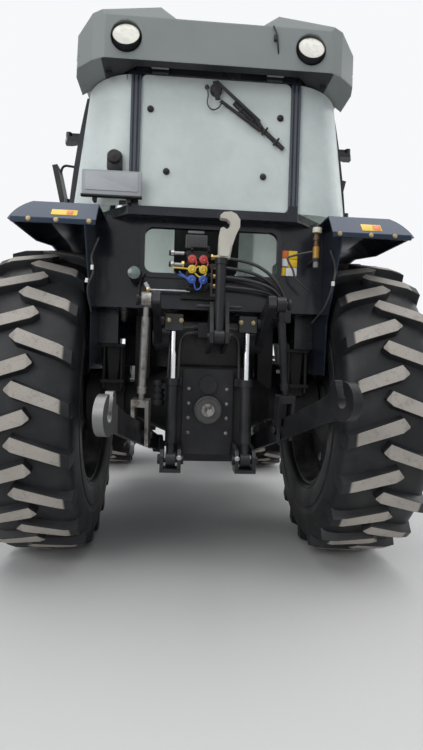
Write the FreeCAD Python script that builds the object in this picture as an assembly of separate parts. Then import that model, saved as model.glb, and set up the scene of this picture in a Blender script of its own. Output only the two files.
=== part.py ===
"""Farm tractor, four wheel drive, with cab and rear three point linkage.

Millimetres. +Y is forward, +X is the right hand side seen from behind, +Z is up.
Inside this file Y is measured from the rear axle; save() then moves every solid so
that the origin is at the middle of the machine's box, on the ground.
"""
import FreeCAD, Part
import math
import os

V = FreeCAD.Vector

# Driving dimensions
wheelbase = 2600.0
front_overhang = 700.0      # front axle to the front weights' face
rear_reach = 1310.0         # rear axle to the tip of the left linkage hook

rear_tyre_radius = 877.0    # 18.4-38, to the lug tips
rear_tyre_width = 467.0
rear_rim_radius = 492.0
rear_track = 1730.0
rear_lug_count = 22         # per side
rear_lug_height = 38.0
front_tyre_radius = 633.0   # 14.9-24
front_tyre_width = 378.0
front_rim_radius = 312.0
front_track = 1660.0
front_lug_count = 19
front_lug_height = 32.0

kingpin_x = 600.0
steer_arm_reach = 170.0     # kingpin to the steering ball, backwards
steer_ball_x = 585.0

cab_front = 1250.0          # windscreen foot
cab_rear = -560.0           # rear face of the rear posts
cab_floor = 1110.0
cab_waist = 1895.0          # foot of the rear window
cab_top = 2610.0            # top of the head rails
door_hinge_y = -105.0
door_front_y = 1150.0
fender_gap = 91.0           # tyre to the underside of the mudguard
fender_inner_x = 555.3
fender_wall_x = 602.0
fender_outer_x = 950.0
fender_back = 792.0         # rear axle to the mudguard's rear flange
fender_front_angle = 26.0   # where the arch ends, above the axle's level
roof_half_width = 727.0
roof_rise = 228.0           # from the head rails to the crest of the roof's humps

shaft_back = 400.0          # lift shaft behind the rear axle
shaft_height = 1240.0
lift_pin_back = 800.0
lift_pin_height = 1388.0
lift_pin_x = 312.0
lift_foot_back = 665.0      # where the lift rods meet the lower links
link_pivot_x = 262.0
link_pivot_back = 250.0
link_pivot_height = 645.0
cylinder_x = 185.0
cylinder_foot_back = 640.0
cylinder_foot_height = 625.0
cylinder_head_share = 0.48  # cylinder pin's place on the line from lift shaft to lift pin
barrel_length = 400.0
pto_height = 865.0
top_link_x = 31.0
top_link_back = 735.0
top_link_foot = 1232.0
top_link_tube = 373.0       # foot pin to the top of the tube
hook_height = 220.0

sheet = 8.0                 # pressed steel panels
glass = 6.0
seat_gap = 0.3              # face to face clearance of bolted pieces

front_reach = wheelbase + front_overhang
origin_y = (rear_reach - front_reach) / 2.0
fender_top = 2 * rear_tyre_radius + fender_gap
roof_top = cab_top + roof_rise
lift_top = shaft_height + 105.0      # top of the lift housing
cab_platform = lift_top + 65.0       # top of the step under the seat
post_foot = 1205.0                   # under the rear posts, on their clamps
cylinder_head_back = shaft_back + cylinder_head_share * (lift_pin_back - shaft_back)
cylinder_head_height = shaft_height + cylinder_head_share * (lift_pin_height - shaft_height)


# Shape helpers

def box(x0, x1, y0, y1, z0, z1):
    return Part.makeBox(x1 - x0, y1 - y0, z1 - z0, V(x0, y0, z0))


def rod(start, end, radius):
    a, b = V(*start), V(*end)
    return Part.makeCylinder(radius, (b - a).Length, a, b - a)


def pipe(start, end, radius, bore):
    return rod(start, end, radius).cut(rod(start, end, bore))


def outline(points, radius=0.0):
    """Closed wire through 3-D points in one plane, its corners rounded to radius.
    A point may carry its own radius as a pair (point, radius)."""
    pts, radii = [], []
    for p in points:
        own = isinstance(p[0], (tuple, list))
        pts.append(V(*(p[0] if own else p)))
        radii.append(p[1] if own else radius)
    n = len(pts)
    legs = []
    for i in range(n):
        here, before, after = pts[i], pts[i - 1], pts[(i + 1) % n]
        if radii[i] <= 0:
            legs.append((here, None, here))
            continue
        u = (before - here).normalize()
        w = (after - here).normalize()
        half = u.getAngle(w) / 2.0
        reach = radii[i] / math.tan(half)
        centre = here + (u + w).normalize() * (radii[i] / math.sin(half))
        middle = centre + (here - centre).normalize() * radii[i]
        legs.append((here + u * reach, middle, here + w * reach))
    edges = []
    for i in range(n):
        first, middle, last = legs[i]
        if middle is not None:
            edges.append(Part.Arc(first, middle, last).toShape())
        following = legs[(i + 1) % n][0]
        if (following - last).Length > 1e-6:
            edges.append(Part.LineSegment(last, following).toShape())
    return Part.Wire(edges)


def prism_x(yz, x0, x1, radius=0.0):
    wire = outline([_lift(p, lambda a, b: (x0, a, b)) for p in yz], radius)
    return Part.Face(wire).extrude(V(x1 - x0, 0, 0))


def prism_y(xz, y0, y1, radius=0.0):
    wire = outline([_lift(p, lambda a, b: (a, y0, b)) for p in xz], radius)
    return Part.Face(wire).extrude(V(0, y1 - y0, 0))


def prism_z(xy, z0, z1, radius=0.0):
    wire = outline([_lift(p, lambda a, b: (a, b, z0)) for p in xy], radius)
    return Part.Face(wire).extrude(V(0, 0, z1 - z0))


def _lift(p, place):
    if isinstance(p[0], (tuple, list)):
        return (place(*p[0]), p[1])
    return place(*p)


def mirrored(shape):
    return shape.mirror(V(0, 0, 0), V(1, 0, 0))


def both(shape):
    """A piece and its mirror image on the other side, as two solids."""
    return Part.makeCompound([shape, mirrored(shape)])


def joined(*shapes):
    first, rest = shapes[0], list(shapes[1:])
    return first.multiFuse(rest).removeSplitter()


def revolved_x(profile, y, z):
    """Profile points are (x, radius); turned about the axle through y, z."""
    wire = Part.makePolygon([V(x, y, z + r) for x, r in profile + profile[:1]])
    return Part.Face(wire).revolve(V(0, y, z), V(1, 0, 0), 360)


def bent_tube(points, radius, bend):
    """Round tube or hose whose straight runs are joined by arcs of radius bend."""
    pts = [V(*p) for p in points]
    edges, start = [], pts[0]
    for i in range(1, len(pts) - 1):
        u = (pts[i - 1] - pts[i]).normalize()
        w = (pts[i + 1] - pts[i]).normalize()
        half = u.getAngle(w) / 2.0
        reach = bend / math.tan(half)
        centre = pts[i] + (u + w).normalize() * (bend / math.sin(half))
        middle = centre + (pts[i] - centre).normalize() * bend
        first, last = pts[i] + u * reach, pts[i] + w * reach
        if (first - start).Length > 1e-6:
            edges.append(Part.LineSegment(start, first).toShape())
        edges.append(Part.Arc(first, middle, last).toShape())
        start = last
    edges.append(Part.LineSegment(start, pts[-1]).toShape())
    spine = Part.Wire(edges)
    ring = Part.Wire(Part.makeCircle(radius, pts[0], pts[1] - pts[0]))
    return spine.makePipeShell([ring], True, False)


def save(name, shape):
    moved = shape.copy()
    moved.translate(V(0, origin_y, 0))
    moved.exportStep(os.path.join("parts", name + ".step"))
    box_ = moved.BoundBox
    print(name, "solids", len(moved.Solids), "faces", len(moved.Faces), "valid", moved.isValid(),
          "y", round(box_.YMin), round(box_.YMax), "z", round(box_.ZMin), round(box_.ZMax))


# Wheels

# One bar of the right half, from its nose to the shoulder: place across as a share of the half width, lag of its
# leading and trailing edges as shares of the pitch, and the depth of its face and of the tread beside it under
# the tip circle, in lug heights.
bar_table = [
    # across, leading, trailing, face, foot
    (-0.11, 0.00, 0.295, 0.00, 1.00),
    (0.70, 0.28, 0.545, 0.20, 1.35),
    (0.96, 0.39, 0.665, 0.65, 2.15),
]
bar_tip = (-0.24, 0.17, 0.03, 1.00)          # across, lag, face, foot
wall_foot = (0.985, 3.9)                     # where a bar runs out in the side wall: across, depth
bead_inset = 16.0                            # tyre bead inside the rim's flange
bead_share = 0.80                            # rim width to tyre width


def bar_points(side, k, radius, half, rim_radius, lugs, height):
    """Named points of bar k; side is 1 for the right half, -1 for the left half, half a pitch later."""
    def spot(across, lag, r, x=None):
        turn = 2 * math.pi * (k + (0.0 if side > 0 else 0.5) + lag) / lugs
        return V(side * (across * half if x is None else x), -r * math.sin(turn), r * math.cos(turn))

    across, lag, face, foot = bar_tip
    bar = {"tip_face": spot(across, lag, radius - face * height), "tip_foot": spot(across, lag, radius - foot * height)}
    for i, (across, leading, trailing, face, foot) in enumerate(bar_table):
        bar["lead_face", i] = spot(across, leading, radius - face * height)
        bar["trail_face", i] = spot(across, trailing, radius - face * height)
        bar["lead_foot", i] = spot(across, leading, radius - foot * height)
        bar["trail_foot", i] = spot(across, trailing, radius - foot * height)
    across, depth = wall_foot
    wall_radius = radius - depth * height
    bar["lead_wall"] = spot(across, leading + 0.02, wall_radius)
    bar["trail_wall"] = spot(across, trailing - 0.02, wall_radius)
    bar["bulge"] = spot(1.0, 0.5, (rim_radius + radius - height) / 2)
    bar["bead"] = spot(0, 0.5, (rim_radius - 0.6) / math.cos(math.pi / lugs), bead_share * half - bead_inset)
    return bar


def tyre(radius, width, rim_radius, lugs, height):
    """Carcass and bars as one skin of flat triangles about the X axis, closed under the beads."""
    half = width / 2
    bars = {side: [bar_points(side, k, radius, half, rim_radius, lugs, height) for k in range(lugs)] for side in (1, -1)}
    places, corners, triangles = {}, [], []

    def number(point):
        key = (round(point.x, 5), round(point.y, 5), round(point.z, 5))
        if key not in places:
            places[key] = len(corners)
            corners.append(point)
        return places[key]

    def cover(side, *ring):
        """Fan of triangles over a ring of points; the left half runs the other way round."""
        ids = [number(p) for p in (ring if side > 0 else ring[::-1])]
        triangles.extend((ids[0], ids[i], ids[i + 1]) for i in range(1, len(ids) - 1))

    for side in (1, -1):
        for k in range(lugs):
            bar = bars[side][k]
            after = bars[side][(k + 1) % lugs]
            between = bars[-side][k if side > 0 else (k + 1) % lugs]
            # face and flanks of the bar
            cover(side, bar["tip_face"], bar["lead_face", 0], bar["trail_face", 0])
            cover(side, bar["tip_foot"], bar["lead_foot", 0], bar["lead_face", 0], bar["tip_face"])
            cover(side, bar["tip_face"], bar["trail_face", 0], bar["trail_foot", 0], bar["tip_foot"])
            for i in (0, 1):
                cover(side, bar["lead_face", i], bar["lead_face", i + 1], bar["trail_face", i + 1], bar["trail_face", i])
                cover(side, bar["lead_foot", i], bar["lead_foot", i + 1], bar["lead_face", i + 1], bar["lead_face", i])
                cover(side, bar["trail_face", i], bar["trail_face", i + 1], bar["trail_foot", i + 1],
                      bar["trail_foot", i])
            # its end, running out in the side wall
            cover(side, bar["lead_face", 2], bar["lead_wall"], bar["trail_wall"], bar["trail_face", 2])
            cover(side, bar["lead_face", 2], bar["lead_foot", 2], bar["lead_wall"])
            cover(side, bar["trail_face", 2], bar["trail_wall"], bar["trail_foot", 2])
            # tread up to the next bar, round the nose of the bar of the other half
            cover(side, bar["trail_foot", 1], between["lead_foot", 0], bar["trail_foot", 0])
            cover(side, bar["trail_foot", 1], between["tip_foot"], between["lead_foot", 0])
            cover(side, bar["trail_foot", 1], after["lead_foot", 1], between["tip_foot"])
            cover(side, after["lead_foot", 1], between["trail_foot", 0], between["tip_foot"])
            cover(side, after["lead_foot", 1], after["lead_foot", 0], between["trail_foot", 0])
            cover(side, bar["trail_foot", 1], bar["trail_foot", 2], after["lead_foot", 2], after["lead_foot", 1])
            # shoulder, side wall and seat on the rim
            cover(side, bar["trail_foot", 2], bar["trail_wall"], after["lead_wall"], after["lead_foot", 2])
            cover(side, bar["lead_wall"], bar["bulge"], bar["trail_wall"])
            cover(side, bar["trail_wall"], bar["bulge"], after["bulge"], after["lead_wall"])
            cover(side, bar["bulge"], bar["bead"], after["bead"], after["bulge"])
            cover(side, bar["bead"], between["bead"], after["bead"])
    skin = Part.Shape()
    skin.makeShapeFromMesh((corners, triangles), 0.001)
    solid = Part.Solid(skin)
    return solid if solid.Volume > 0 else solid.reversed()


def at(shape, x, y, z):
    moved = shape.copy()
    moved.translate(V(x, y, z))
    return moved


rear_hub_face = 745.0       # where the rear disc bolts on
front_hub_face = 790.0
axle_stub = 55.0            # end of every axle, running in its hub
running = 0.08              # radial clearance of a turning pin


def rear_rim():
    """Right wheel, outer side towards +X: barrel with bead flanges, dished disc and hub."""
    centre = rear_track / 2
    half = rear_tyre_width / 2 * bead_share
    inner, outer = centre - half, centre + half
    seat = rear_rim_radius - 1.0
    barrel = revolved_x([
        (inner - 10, seat + 22), (inner + 2, seat + 22), (inner + 2, seat), (inner + 60, seat), (inner + 95, seat - 32),
        (outer - 95, seat - 32), (outer - 60, seat), (outer - 2, seat), (outer - 2, seat + 22), (outer + 10, seat + 22),
        (outer + 10, seat - 10), (outer - 64, seat - 10), (outer - 99, seat - 44), (inner + 99, seat - 44),
        (inner + 64, seat - 10), (inner - 10, seat - 10)], 0, rear_tyre_radius)
    face = rear_hub_face
    disc = revolved_x([
        (face, 75), (face, 190), (face + 55, 300), (face + 55, seat - 40), (face + 67, seat - 40), (face + 67, 292),
        (face + 14, 182), (face + 14, 75)], 0, rear_tyre_radius)
    slots = []
    for k in range(8):
        hole = rod((face - 10, 0, rear_tyre_radius + 385), (face + 90, 0, rear_tyre_radius + 385), 32)
        hole.rotate(V(0, 0, rear_tyre_radius), V(1, 0, 0), 45 * k + 22.5)
        slots.append(hole)
    return joined(barrel, disc.cut(Part.makeCompound(slots)))


def rear_hub():
    """Axle flange with its eight nuts and the shaft end, turning with the wheel."""
    z = rear_tyre_radius
    flange = rod((rear_hub_face - 34, 0, z), (rear_hub_face - 0.3, 0, z), 140)
    bore = rod((rear_hub_face - 35, 0, z), (rear_hub_face + 30, 0, z), axle_stub + running)
    end = rod((rear_hub_face - 20, 0, z), (rear_hub_face + 60, 0, z), 72)
    nuts = []
    for k in range(8):
        nut = rod((rear_hub_face + 14.3, 0, z + 108), (rear_hub_face + 40, 0, z + 108), 14)
        nut.rotate(V(0, 0, z), V(1, 0, 0), 45 * k)
        nuts.append(nut)
    return Part.makeCompound([joined(flange, end).cut(bore)] + nuts)


def front_rim():
    centre = front_track / 2
    half = front_tyre_width / 2 * bead_share
    inner, outer = centre - half, centre + half
    seat = front_rim_radius - 1.0
    z = front_tyre_radius
    barrel = revolved_x([
        (inner - 8, seat + 18), (inner + 2, seat + 18), (inner + 2, seat), (inner + 50, seat), (inner + 75, seat - 22),
        (outer - 75, seat - 22), (outer - 50, seat), (outer - 2, seat), (outer - 2, seat + 18), (outer + 8, seat + 18),
        (outer + 8, seat - 9), (outer - 54, seat - 9), (outer - 79, seat - 32), (inner + 79, seat - 32),
        (inner + 54, seat - 9), (inner - 8, seat - 9)], wheelbase, z)
    face = front_hub_face
    disc = revolved_x([
        (face, 130), (face, 200), (face + 60, 250), (face + 60, seat - 28), (face + 70, seat - 28),
        (face + 70, 242), (face + 12, 192), (face + 12, 130)], wheelbase, z)
    return joined(barrel, disc)


def front_hub():
    """Planet carrier of the final drive: drum, cover and flange, turning with the wheel."""
    z = front_tyre_radius
    flange = rod((front_hub_face - 26, wheelbase, z), (front_hub_face - 0.3, wheelbase, z), 178)
    drum = rod((front_hub_face - 62, wheelbase, z), (front_hub_face + 95, wheelbase, z), 120)
    cover = rod((front_hub_face + 90, wheelbase, z), (front_hub_face + 118, wheelbase, z), 66)
    bore = rod((front_hub_face - 63, wheelbase, z), (front_hub_face, wheelbase, z), axle_stub + running)
    return joined(flange, drum, cover).cut(bore)


def make_wheels():
    rear = tyre(rear_tyre_radius, rear_tyre_width, rear_rim_radius, rear_lug_count, rear_lug_height)
    front = tyre(front_tyre_radius, front_tyre_width, front_rim_radius, front_lug_count, front_lug_height)
    for side, sign in (("left", -1), ("right", 1)):
        save("rear_tyre_" + side, at(rear, sign * rear_track / 2, 0, rear_tyre_radius))
        save("front_tyre_" + side, at(front, sign * front_track / 2, wheelbase, front_tyre_radius))
    rear_wheel = Part.makeCompound([rear_rim()] + rear_hub().Solids)
    front_wheel = Part.makeCompound([front_rim(), front_hub()])
    for name, piece in (("rear_wheel", rear_wheel), ("front_wheel", front_wheel)):
        save(name + "_right", piece)
        save(name + "_left", mirrored(piece))


# Front axle and steering

beam_half = 62.0
fist_radius = 62.0
fist_half = 78.0
kingpin_radius = 22.0
knuckle_gap = 6.0
rod_height = front_tyre_radius + 30.0


def front_axle():
    """Beam with its differential, the two fists that carry the knuckles, and the steering cylinder."""
    z = front_tyre_radius
    beam = prism_y([
        (-kingpin_x, z - 48), (-330, z - beam_half), (-60, z - 120), (120, z - 120), (330, z - beam_half),
        (kingpin_x, z - 48), (kingpin_x, z + 48), (250, z + beam_half), (-250, z + beam_half),
        (-kingpin_x, z + 48)], wheelbase - 62, wheelbase + 62)
    drum = rod((20, wheelbase - 76, z - 12), (20, wheelbase + 76, z - 12), 118)
    pivot = rod((0, wheelbase - 150, z + 105), (0, wheelbase + 150, z + 105), 40)
    pivot_web = box(-45, 45, wheelbase - 60, wheelbase + 60, z + 30, z + 105)
    beam = joined(beam, drum, pivot, pivot_web)
    for sign in (-1, 1):
        x = sign * kingpin_x
        fist = rod((x, wheelbase, z - fist_half), (x, wheelbase, z + fist_half), fist_radius)
        bore = rod((x, wheelbase, z - fist_half - 1), (x, wheelbase, z + fist_half + 1), kingpin_radius + 0.1)
        beam = joined(beam, fist).cut(bore)
    return beam


def steering_cylinder():
    """Barrel on the back of the beam; its through rod is a piece of its own."""
    y = wheelbase - steer_arm_reach
    barrel = pipe((-190, y, rod_height), (190, y, rod_height), 34, 15.1)
    saddles = [box(x - 14, x + 14, y + 8, wheelbase - 62.3, rod_height - 24, rod_height + 24) for x in (-165, 165)]
    return joined(barrel, *saddles).cut(rod((-200, y, rod_height), (200, y, rod_height), 15.1))


def steering_rod():
    """Through rod with a ball housing at each end, lying over the steering arms."""
    y = wheelbase - steer_arm_reach
    reach = steer_ball_x
    bar = rod((-reach, y, rod_height), (reach, y, rod_height), 15)
    eyes = [rod((x, y, rod_height - 14), (x, y, rod_height + 18), 30) for x in (-reach, reach)]
    return joined(bar, *eyes)


def knuckle():
    """Right knuckle: fork round the fist, stub towards the wheel and the steering arm."""
    z = front_tyre_radius
    top = fist_half + knuckle_gap
    web_x = kingpin_x + fist_radius + 12
    plates = []
    for low in (z + top, z - top - 28):
        ear = prism_z([(kingpin_x - 60, wheelbase - 60), (web_x + 34, wheelbase - 95), (web_x + 34, wheelbase + 95),
                       (kingpin_x - 60, wheelbase + 60)], low, low + 28, 24)
        plates.append(ear)
    web = rod((web_x, wheelbase, z), (web_x + 34, wheelbase, z), top + 28)
    stub = joined(rod((web_x + 20, wheelbase, z), (front_hub_face - 68, wheelbase, z), 98),
                  rod((front_hub_face - 70, wheelbase, z), (front_hub_face - 5, wheelbase, z), axle_stub))
    pin_up = rod((kingpin_x, wheelbase, z + 30), (kingpin_x, wheelbase, z + top + 40), kingpin_radius)
    pin_down = rod((kingpin_x, wheelbase, z - top - 40), (kingpin_x, wheelbase, z - 30), kingpin_radius)
    arm_z = rod_height - 14 - 8
    ball_y = wheelbase - steer_arm_reach
    arm = prism_z([(steer_ball_x - 30, ball_y - 28), (steer_ball_x + 40, ball_y - 28), (web_x + 34, wheelbase - 95),
                   (web_x + 34, wheelbase - 40), (web_x + 4, wheelbase - 70), (steer_ball_x + 20, ball_y + 28),
                   (steer_ball_x - 30, ball_y + 28)], arm_z - 30, arm_z, 8)
    arm_web = box(web_x, web_x + 34, wheelbase - 95, wheelbase - 20, arm_z - 30, z + top)
    return joined(*plates, web, stub, pin_up, pin_down, arm, arm_web)


def make_front_axle():
    save("front_axle", Part.makeCompound([front_axle(), steering_cylinder()]))
    save("steering_rod", steering_rod())
    right = knuckle()
    save("knuckle_right", right)
    save("knuckle_left", mirrored(right))


# Chassis castings

housing_half = 200.0
housing_back = -480.0
engine_back = cab_front + 80.0
engine_front = wheelbase - 400.0
nose_back = front_reach - 290.0      # front support's nose plate
nose_front = nose_back + 40.0
lip_front = nose_front + 60.0
support_top = 960.0


def front_support():
    """Cast carrier under the radiator: side rails, axle pivot bearings and the weight bracket."""
    z = front_tyre_radius
    rails = both(box(120, 190, engine_front + 0.3, nose_back, 800, support_top))
    cross = [box(-190, 190, engine_front + 0.3, engine_front + 60, 800, support_top),
             box(-190, 190, nose_back - 70, nose_back, 800, support_top)]
    bearings = []
    for y0 in (wheelbase - 150, wheelbase + 80):
        block = box(-120, 120, y0, y0 + 70, z + 60, support_top)
        bearings.append(block.cut(rod((0, y0 - 1, z + 105), (0, y0 + 71, z + 105), 40.3)))
    nose = box(-280, 280, nose_back, nose_front, 700, support_top)
    lip = box(-280, 280, nose_front, lip_front, 900, 930)
    return joined(*rails.Solids, *cross, *bearings, nose, lip)


def front_weights():
    """Eight suitcase weights hung on the bracket's lip, each with a hand grip."""
    pieces = []
    pitch = 68.0
    back = nose_front + seat_gap
    for k in range(8):
        x = (k - 3.5) * pitch
        body = prism_x([(back, 640), (front_reach, 660), (front_reach, 940), (front_reach - 100, 985), (back, 985),
                        (back, 932), (lip_front + 2, 932), (lip_front + 2, 898), (back, 898)], x - 32, x + 32)
        grip = box(x - 40, x + 40, front_reach - 95, front_reach - 40, 890, 925)
        pieces.append(body.cut(grip))
    return Part.makeCompound(pieces)


def engine_block():
    """Engine as one plain block with its sump."""
    return joined(box(-230, 230, engine_back, engine_front, 850, 1370),
                  box(-170, 170, engine_back + 50, engine_front - 140, 640, 870))


def gearbox():
    """Clutch housing and gearbox, bolted end to end, with the two arms that carry the cab's front."""
    split = cab_front - 190
    bell = prism_y([(-220, 760), (-140, 620), (140, 620), (220, 760), (220, 1040), (-220, 1040)],
                   split, engine_back - seat_gap, 30)
    body = prism_y([(-180, 700), (-120, 610), (120, 610), (180, 700), (180, 1030), (-180, 1030)],
                   330 + seat_gap, split + 1, 30)
    top = cab_floor - 22 - seat_gap
    arm = prism_y([(150, 950), (480, 1010), (480, top), (150, top)], split + 30, split + 130)
    return joined(bell, body, arm, mirrored(arm))


def rear_axle_housing():
    """Differential housing, axle trumpets with their final drives, and the lift housing on top."""
    z = rear_tyre_radius
    centre = prism_x([(housing_back, 625), (-330, 560), (250, 590), (330, 700), (330, 1090), (housing_back, 1090)],
                     -housing_half, housing_half, 25)
    trumpet = revolved_x([(housing_half - 20, 0), (housing_half - 20, 190), (housing_half + 30, 190), (330, 150),
                          (400, 112), (470, 105), (470, 175), (rear_hub_face - 60, 185), (rear_hub_face - 40, 150),
                          (rear_hub_face - 40, 0)], 0, z)
    stub = rod((rear_hub_face - 50, 0, z), (rear_hub_face + 25, 0, z), axle_stub)
    trumpet = joined(trumpet, stub)
    lift = prism_x([(-470, 1089), (-shaft_back - 100, shaft_height - 60), (-470, shaft_height + 80), (-300, lift_top),
                    (80, lift_top - 45), (110, 1089)], -165, 165, 18)
    bearing = rod((-190, -shaft_back, shaft_height), (190, -shaft_back, shaft_height), 78)
    shaft_hole = rod((-200, -shaft_back, shaft_height), (200, -shaft_back, shaft_height), 45.1)
    towers = both(box(330, 420, -60, 60, z + 60, cab_platform - 22 - seat_gap)).Solids
    return joined(centre, trumpet, mirrored(trumpet), lift, bearing, *towers).cut(shaft_hole)


clamp_y = (-290.0, -130.0)           # back and front of the clamps under the rear posts
clamp_x = (462.0, 592.0)
clamp_plates = ((985.0, 1003.0), (1188.0, post_foot - seat_gap))


def post_clamps():
    """Casting over each trumpet that carries a rear post: two plates, a web and four long bolts."""
    x0, x1 = clamp_x
    y0, y1 = clamp_y
    pieces = [box(x0, x1, y0, y1, low, high) for low, high in clamp_plates]
    low, high = clamp_plates[0][1], clamp_plates[1][0]
    pieces.append(prism_y([(x0 + 40, low - 1), (x1 - 40, low - 1), (x1 - 26, high + 1), (x0 + 26, high + 1)], y0 + 50, y1 - 50))
    pieces.append(box(x0 + 20, x1 - 20, y0 + 60, y1 - 10, rear_tyre_radius + 60, clamp_plates[0][0] + 1))
    for x in (x0 + 16, x1 - 16):
        for y in (y0 + 18, y1 - 18):
            pieces.append(rod((x, y, clamp_plates[0][0] - 30), (x, y, high + 1), 9))
    return joined(*pieces)


def pto_plate():
    """Rear cover with the raised ring round the power take-off and the round plug over it."""
    y = housing_back - seat_gap
    plate = prism_y([(-124, 630), (124, 630), (132, 700), (132, 1075), (-132, 1075), (-132, 700)], y - 24, y, 18)
    ring = pipe((0, y - 58, pto_height), (0, y - 20, pto_height), 74, 50)
    plug = rod((0, y - 44, pto_height + 127), (0, y - 20, pto_height + 127), 46)
    return joined(plate, ring, plug).cut(rod((0, y - 30, pto_height), (0, y + 1, pto_height), 33.0 + running))


pto_radius = 17.4
pto_tip = -690.0


def pto_shaft():
    """Six-splined stub with its collar."""
    y = housing_back - 8
    collar = rod((0, y - 82, pto_height), (0, y, pto_height), 33)
    stub = rod((0, pto_tip, pto_height), (0, y, pto_height), pto_radius)
    grooves = []
    for k in range(6):
        groove = box(-3.2, 3.2, pto_tip - 1, y - 90, pto_height + 14.6, pto_height + 20)
        groove.rotate(V(0, 0, pto_height), V(0, 1, 0), 60 * k)
        grooves.append(groove)
    neck = pipe((0, pto_tip + 22, pto_height), (0, pto_tip + 30, pto_height), 20, 15)
    return joined(collar, stub).cut(Part.makeCompound(grooves + [neck]))


def make_chassis():
    save("front_support", front_support())
    save("front_weights", front_weights())
    save("engine_block", engine_block())
    clamp = post_clamps()
    housing = joined(rear_axle_housing(), clamp, mirrored(clamp))
    save("transmission", Part.makeCompound([gearbox(), housing]))
    save("pto_shaft", pto_shaft())


# Rear linkage. Every piece lies as it stands in the rest position.

link_plate = 24.0
claw_radius = 80.0
pivot_ball = 34.0
claw_half = 20.0
ball_radius = 28.0          # category two ball
fork_slot = 25.0            # half the space between the cheeks of a lift rod's fork
fork_cheek = 18.0
fork_crown = 142.0          # underside of the fork's crown above its pin
fork_pin = 11.0
# side, sign, outward splay and upward lean of the lower link in degrees
link_table = [("left", -1, 9.7, 14.0), ("right", 1, 14.4, 18.2)]


def link_length():
    """Eye to claw; the left hand link, which leans least, ends at rear_reach."""
    splay, lean = (math.radians(a) for a in link_table[0][2:])
    return ((rear_reach - link_pivot_back - claw_half * math.sin(splay)) / math.cos(splay) - claw_radius) / math.cos(lean)


def link_direction(sign, splay, lean):
    a, b = math.radians(splay), math.radians(lean)
    return V(sign * math.sin(a) * math.cos(b), -math.cos(a) * math.cos(b), math.sin(b))


def lift_foot(sign, splay, lean):
    """Where the lift rod's fork meets its lower link, on the link's line."""
    pivot = V(sign * link_pivot_x, -link_pivot_back, link_pivot_height)
    along = link_direction(sign, splay, lean)
    return pivot + along * ((lift_foot_back - link_pivot_back) / -along.y)


def turned_link(shape, sign, splay, lean):
    """From the drawing position, straight back from the origin, to the place on the machine."""
    moved = shape.copy()
    moved.rotate(V(0, 0, 0), V(1, 0, 0), -lean)
    moved.rotate(V(0, 0, 0), V(0, 0, 1), sign * splay)
    moved.translate(V(sign * link_pivot_x, -link_pivot_back, link_pivot_height))
    return moved


def lower_link(sign, splay, lean):
    """Flat bar from its ball eye on the housing to the open claw at the back, with the lift rod's pin."""
    half = link_plate / 2
    length = link_length()
    foot = (lift_foot_back - link_pivot_back) / -link_direction(sign, splay, lean).y
    bar = prism_x([(0, -38), (-260, -46), (-length + 210, -50), (-length + 30, -46), (-length + 30, 46),
                   (-length + 210, 50), (-260, 46), (0, 38)], -half, half)
    eye = rod((-22, 0, 0), (22, 0, 0), 50)
    hole = Part.makeSphere(pivot_ball + 0.06, V(0, 0, 0), V(1, 0, 0))
    claw = rod((-claw_half, -length, 0), (claw_half, -length, 0), claw_radius)
    neck = prism_x([(-length, -66), (-length + 190, -48), (-length + 190, 48), (-length, 66)], -claw_half + 4, claw_half - 4)
    horn = prism_x([(-length + 24, 30), (-length + 72, 20), (-length + 80, 70), (-length + 58, 106), (-length + 30, 98)],
                   -claw_half + 4, claw_half - 4, 10)
    socket = rod((-claw_half - 1, -length, 0), (claw_half + 1, -length, 0), ball_radius)
    mouth = prism_x([(-length - 20, 0), (-length + 20, 0), (-length + 26, 120), (-length - 26, 120)],
                    -claw_half - 1, claw_half + 1)
    outer = fork_slot + fork_cheek
    pin = rod((-outer - 18, -foot, 0), (outer + 18, -foot, 0), fork_pin)
    heads = [rod((x, -foot, 0), (x + 9, -foot, 0), 19) for x in (-outer - 16, outer + 7)]
    boss = rod((-fork_slot + 3, -foot, 0), (fork_slot - 3, -foot, 0), 24)
    link = joined(bar, eye, claw, neck, horn, pin, boss, *heads).cut(hole).cut(joined(socket, mouth))
    return turned_link(link, sign, splay, lean)


def link_bracket(sign):
    """Pin and cheek on the housing's side that carry the lower link."""
    x = sign * link_pivot_x
    y, z = -link_pivot_back, link_pivot_height
    inner = sign * (housing_half + seat_gap)
    pin = rod((inner, y, z), (x + sign * 54, y, z), 16)
    cap = rod((x + sign * 40, y, z), (x + sign * 54, y, z), 30)
    ball = Part.makeSphere(pivot_ball, V(x, y, z), V(1, 0, 0))
    low, high = sorted((inner, sign * (link_pivot_x - 48)))
    cheek = prism_x([(y - 70, z + 90), (y - 56, z - 70), (y + 50, z - 70), (y + 80, z + 90)], low, high, 14)
    return joined(pin, cap, ball, cheek)


arm_inner = 250.0
arm_outer = 286.0


def along_arm(share, rise):
    """Y, Z of the place at a share of the way from the lift shaft to the lift pin, rise above that line."""
    start = V(0, -shaft_back, shaft_height)
    line = V(0, -lift_pin_back, lift_pin_height) - start
    above = V(0, line.z, -line.y).normalize()
    place = start + line * share + above * rise
    return place.y, place.z


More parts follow.
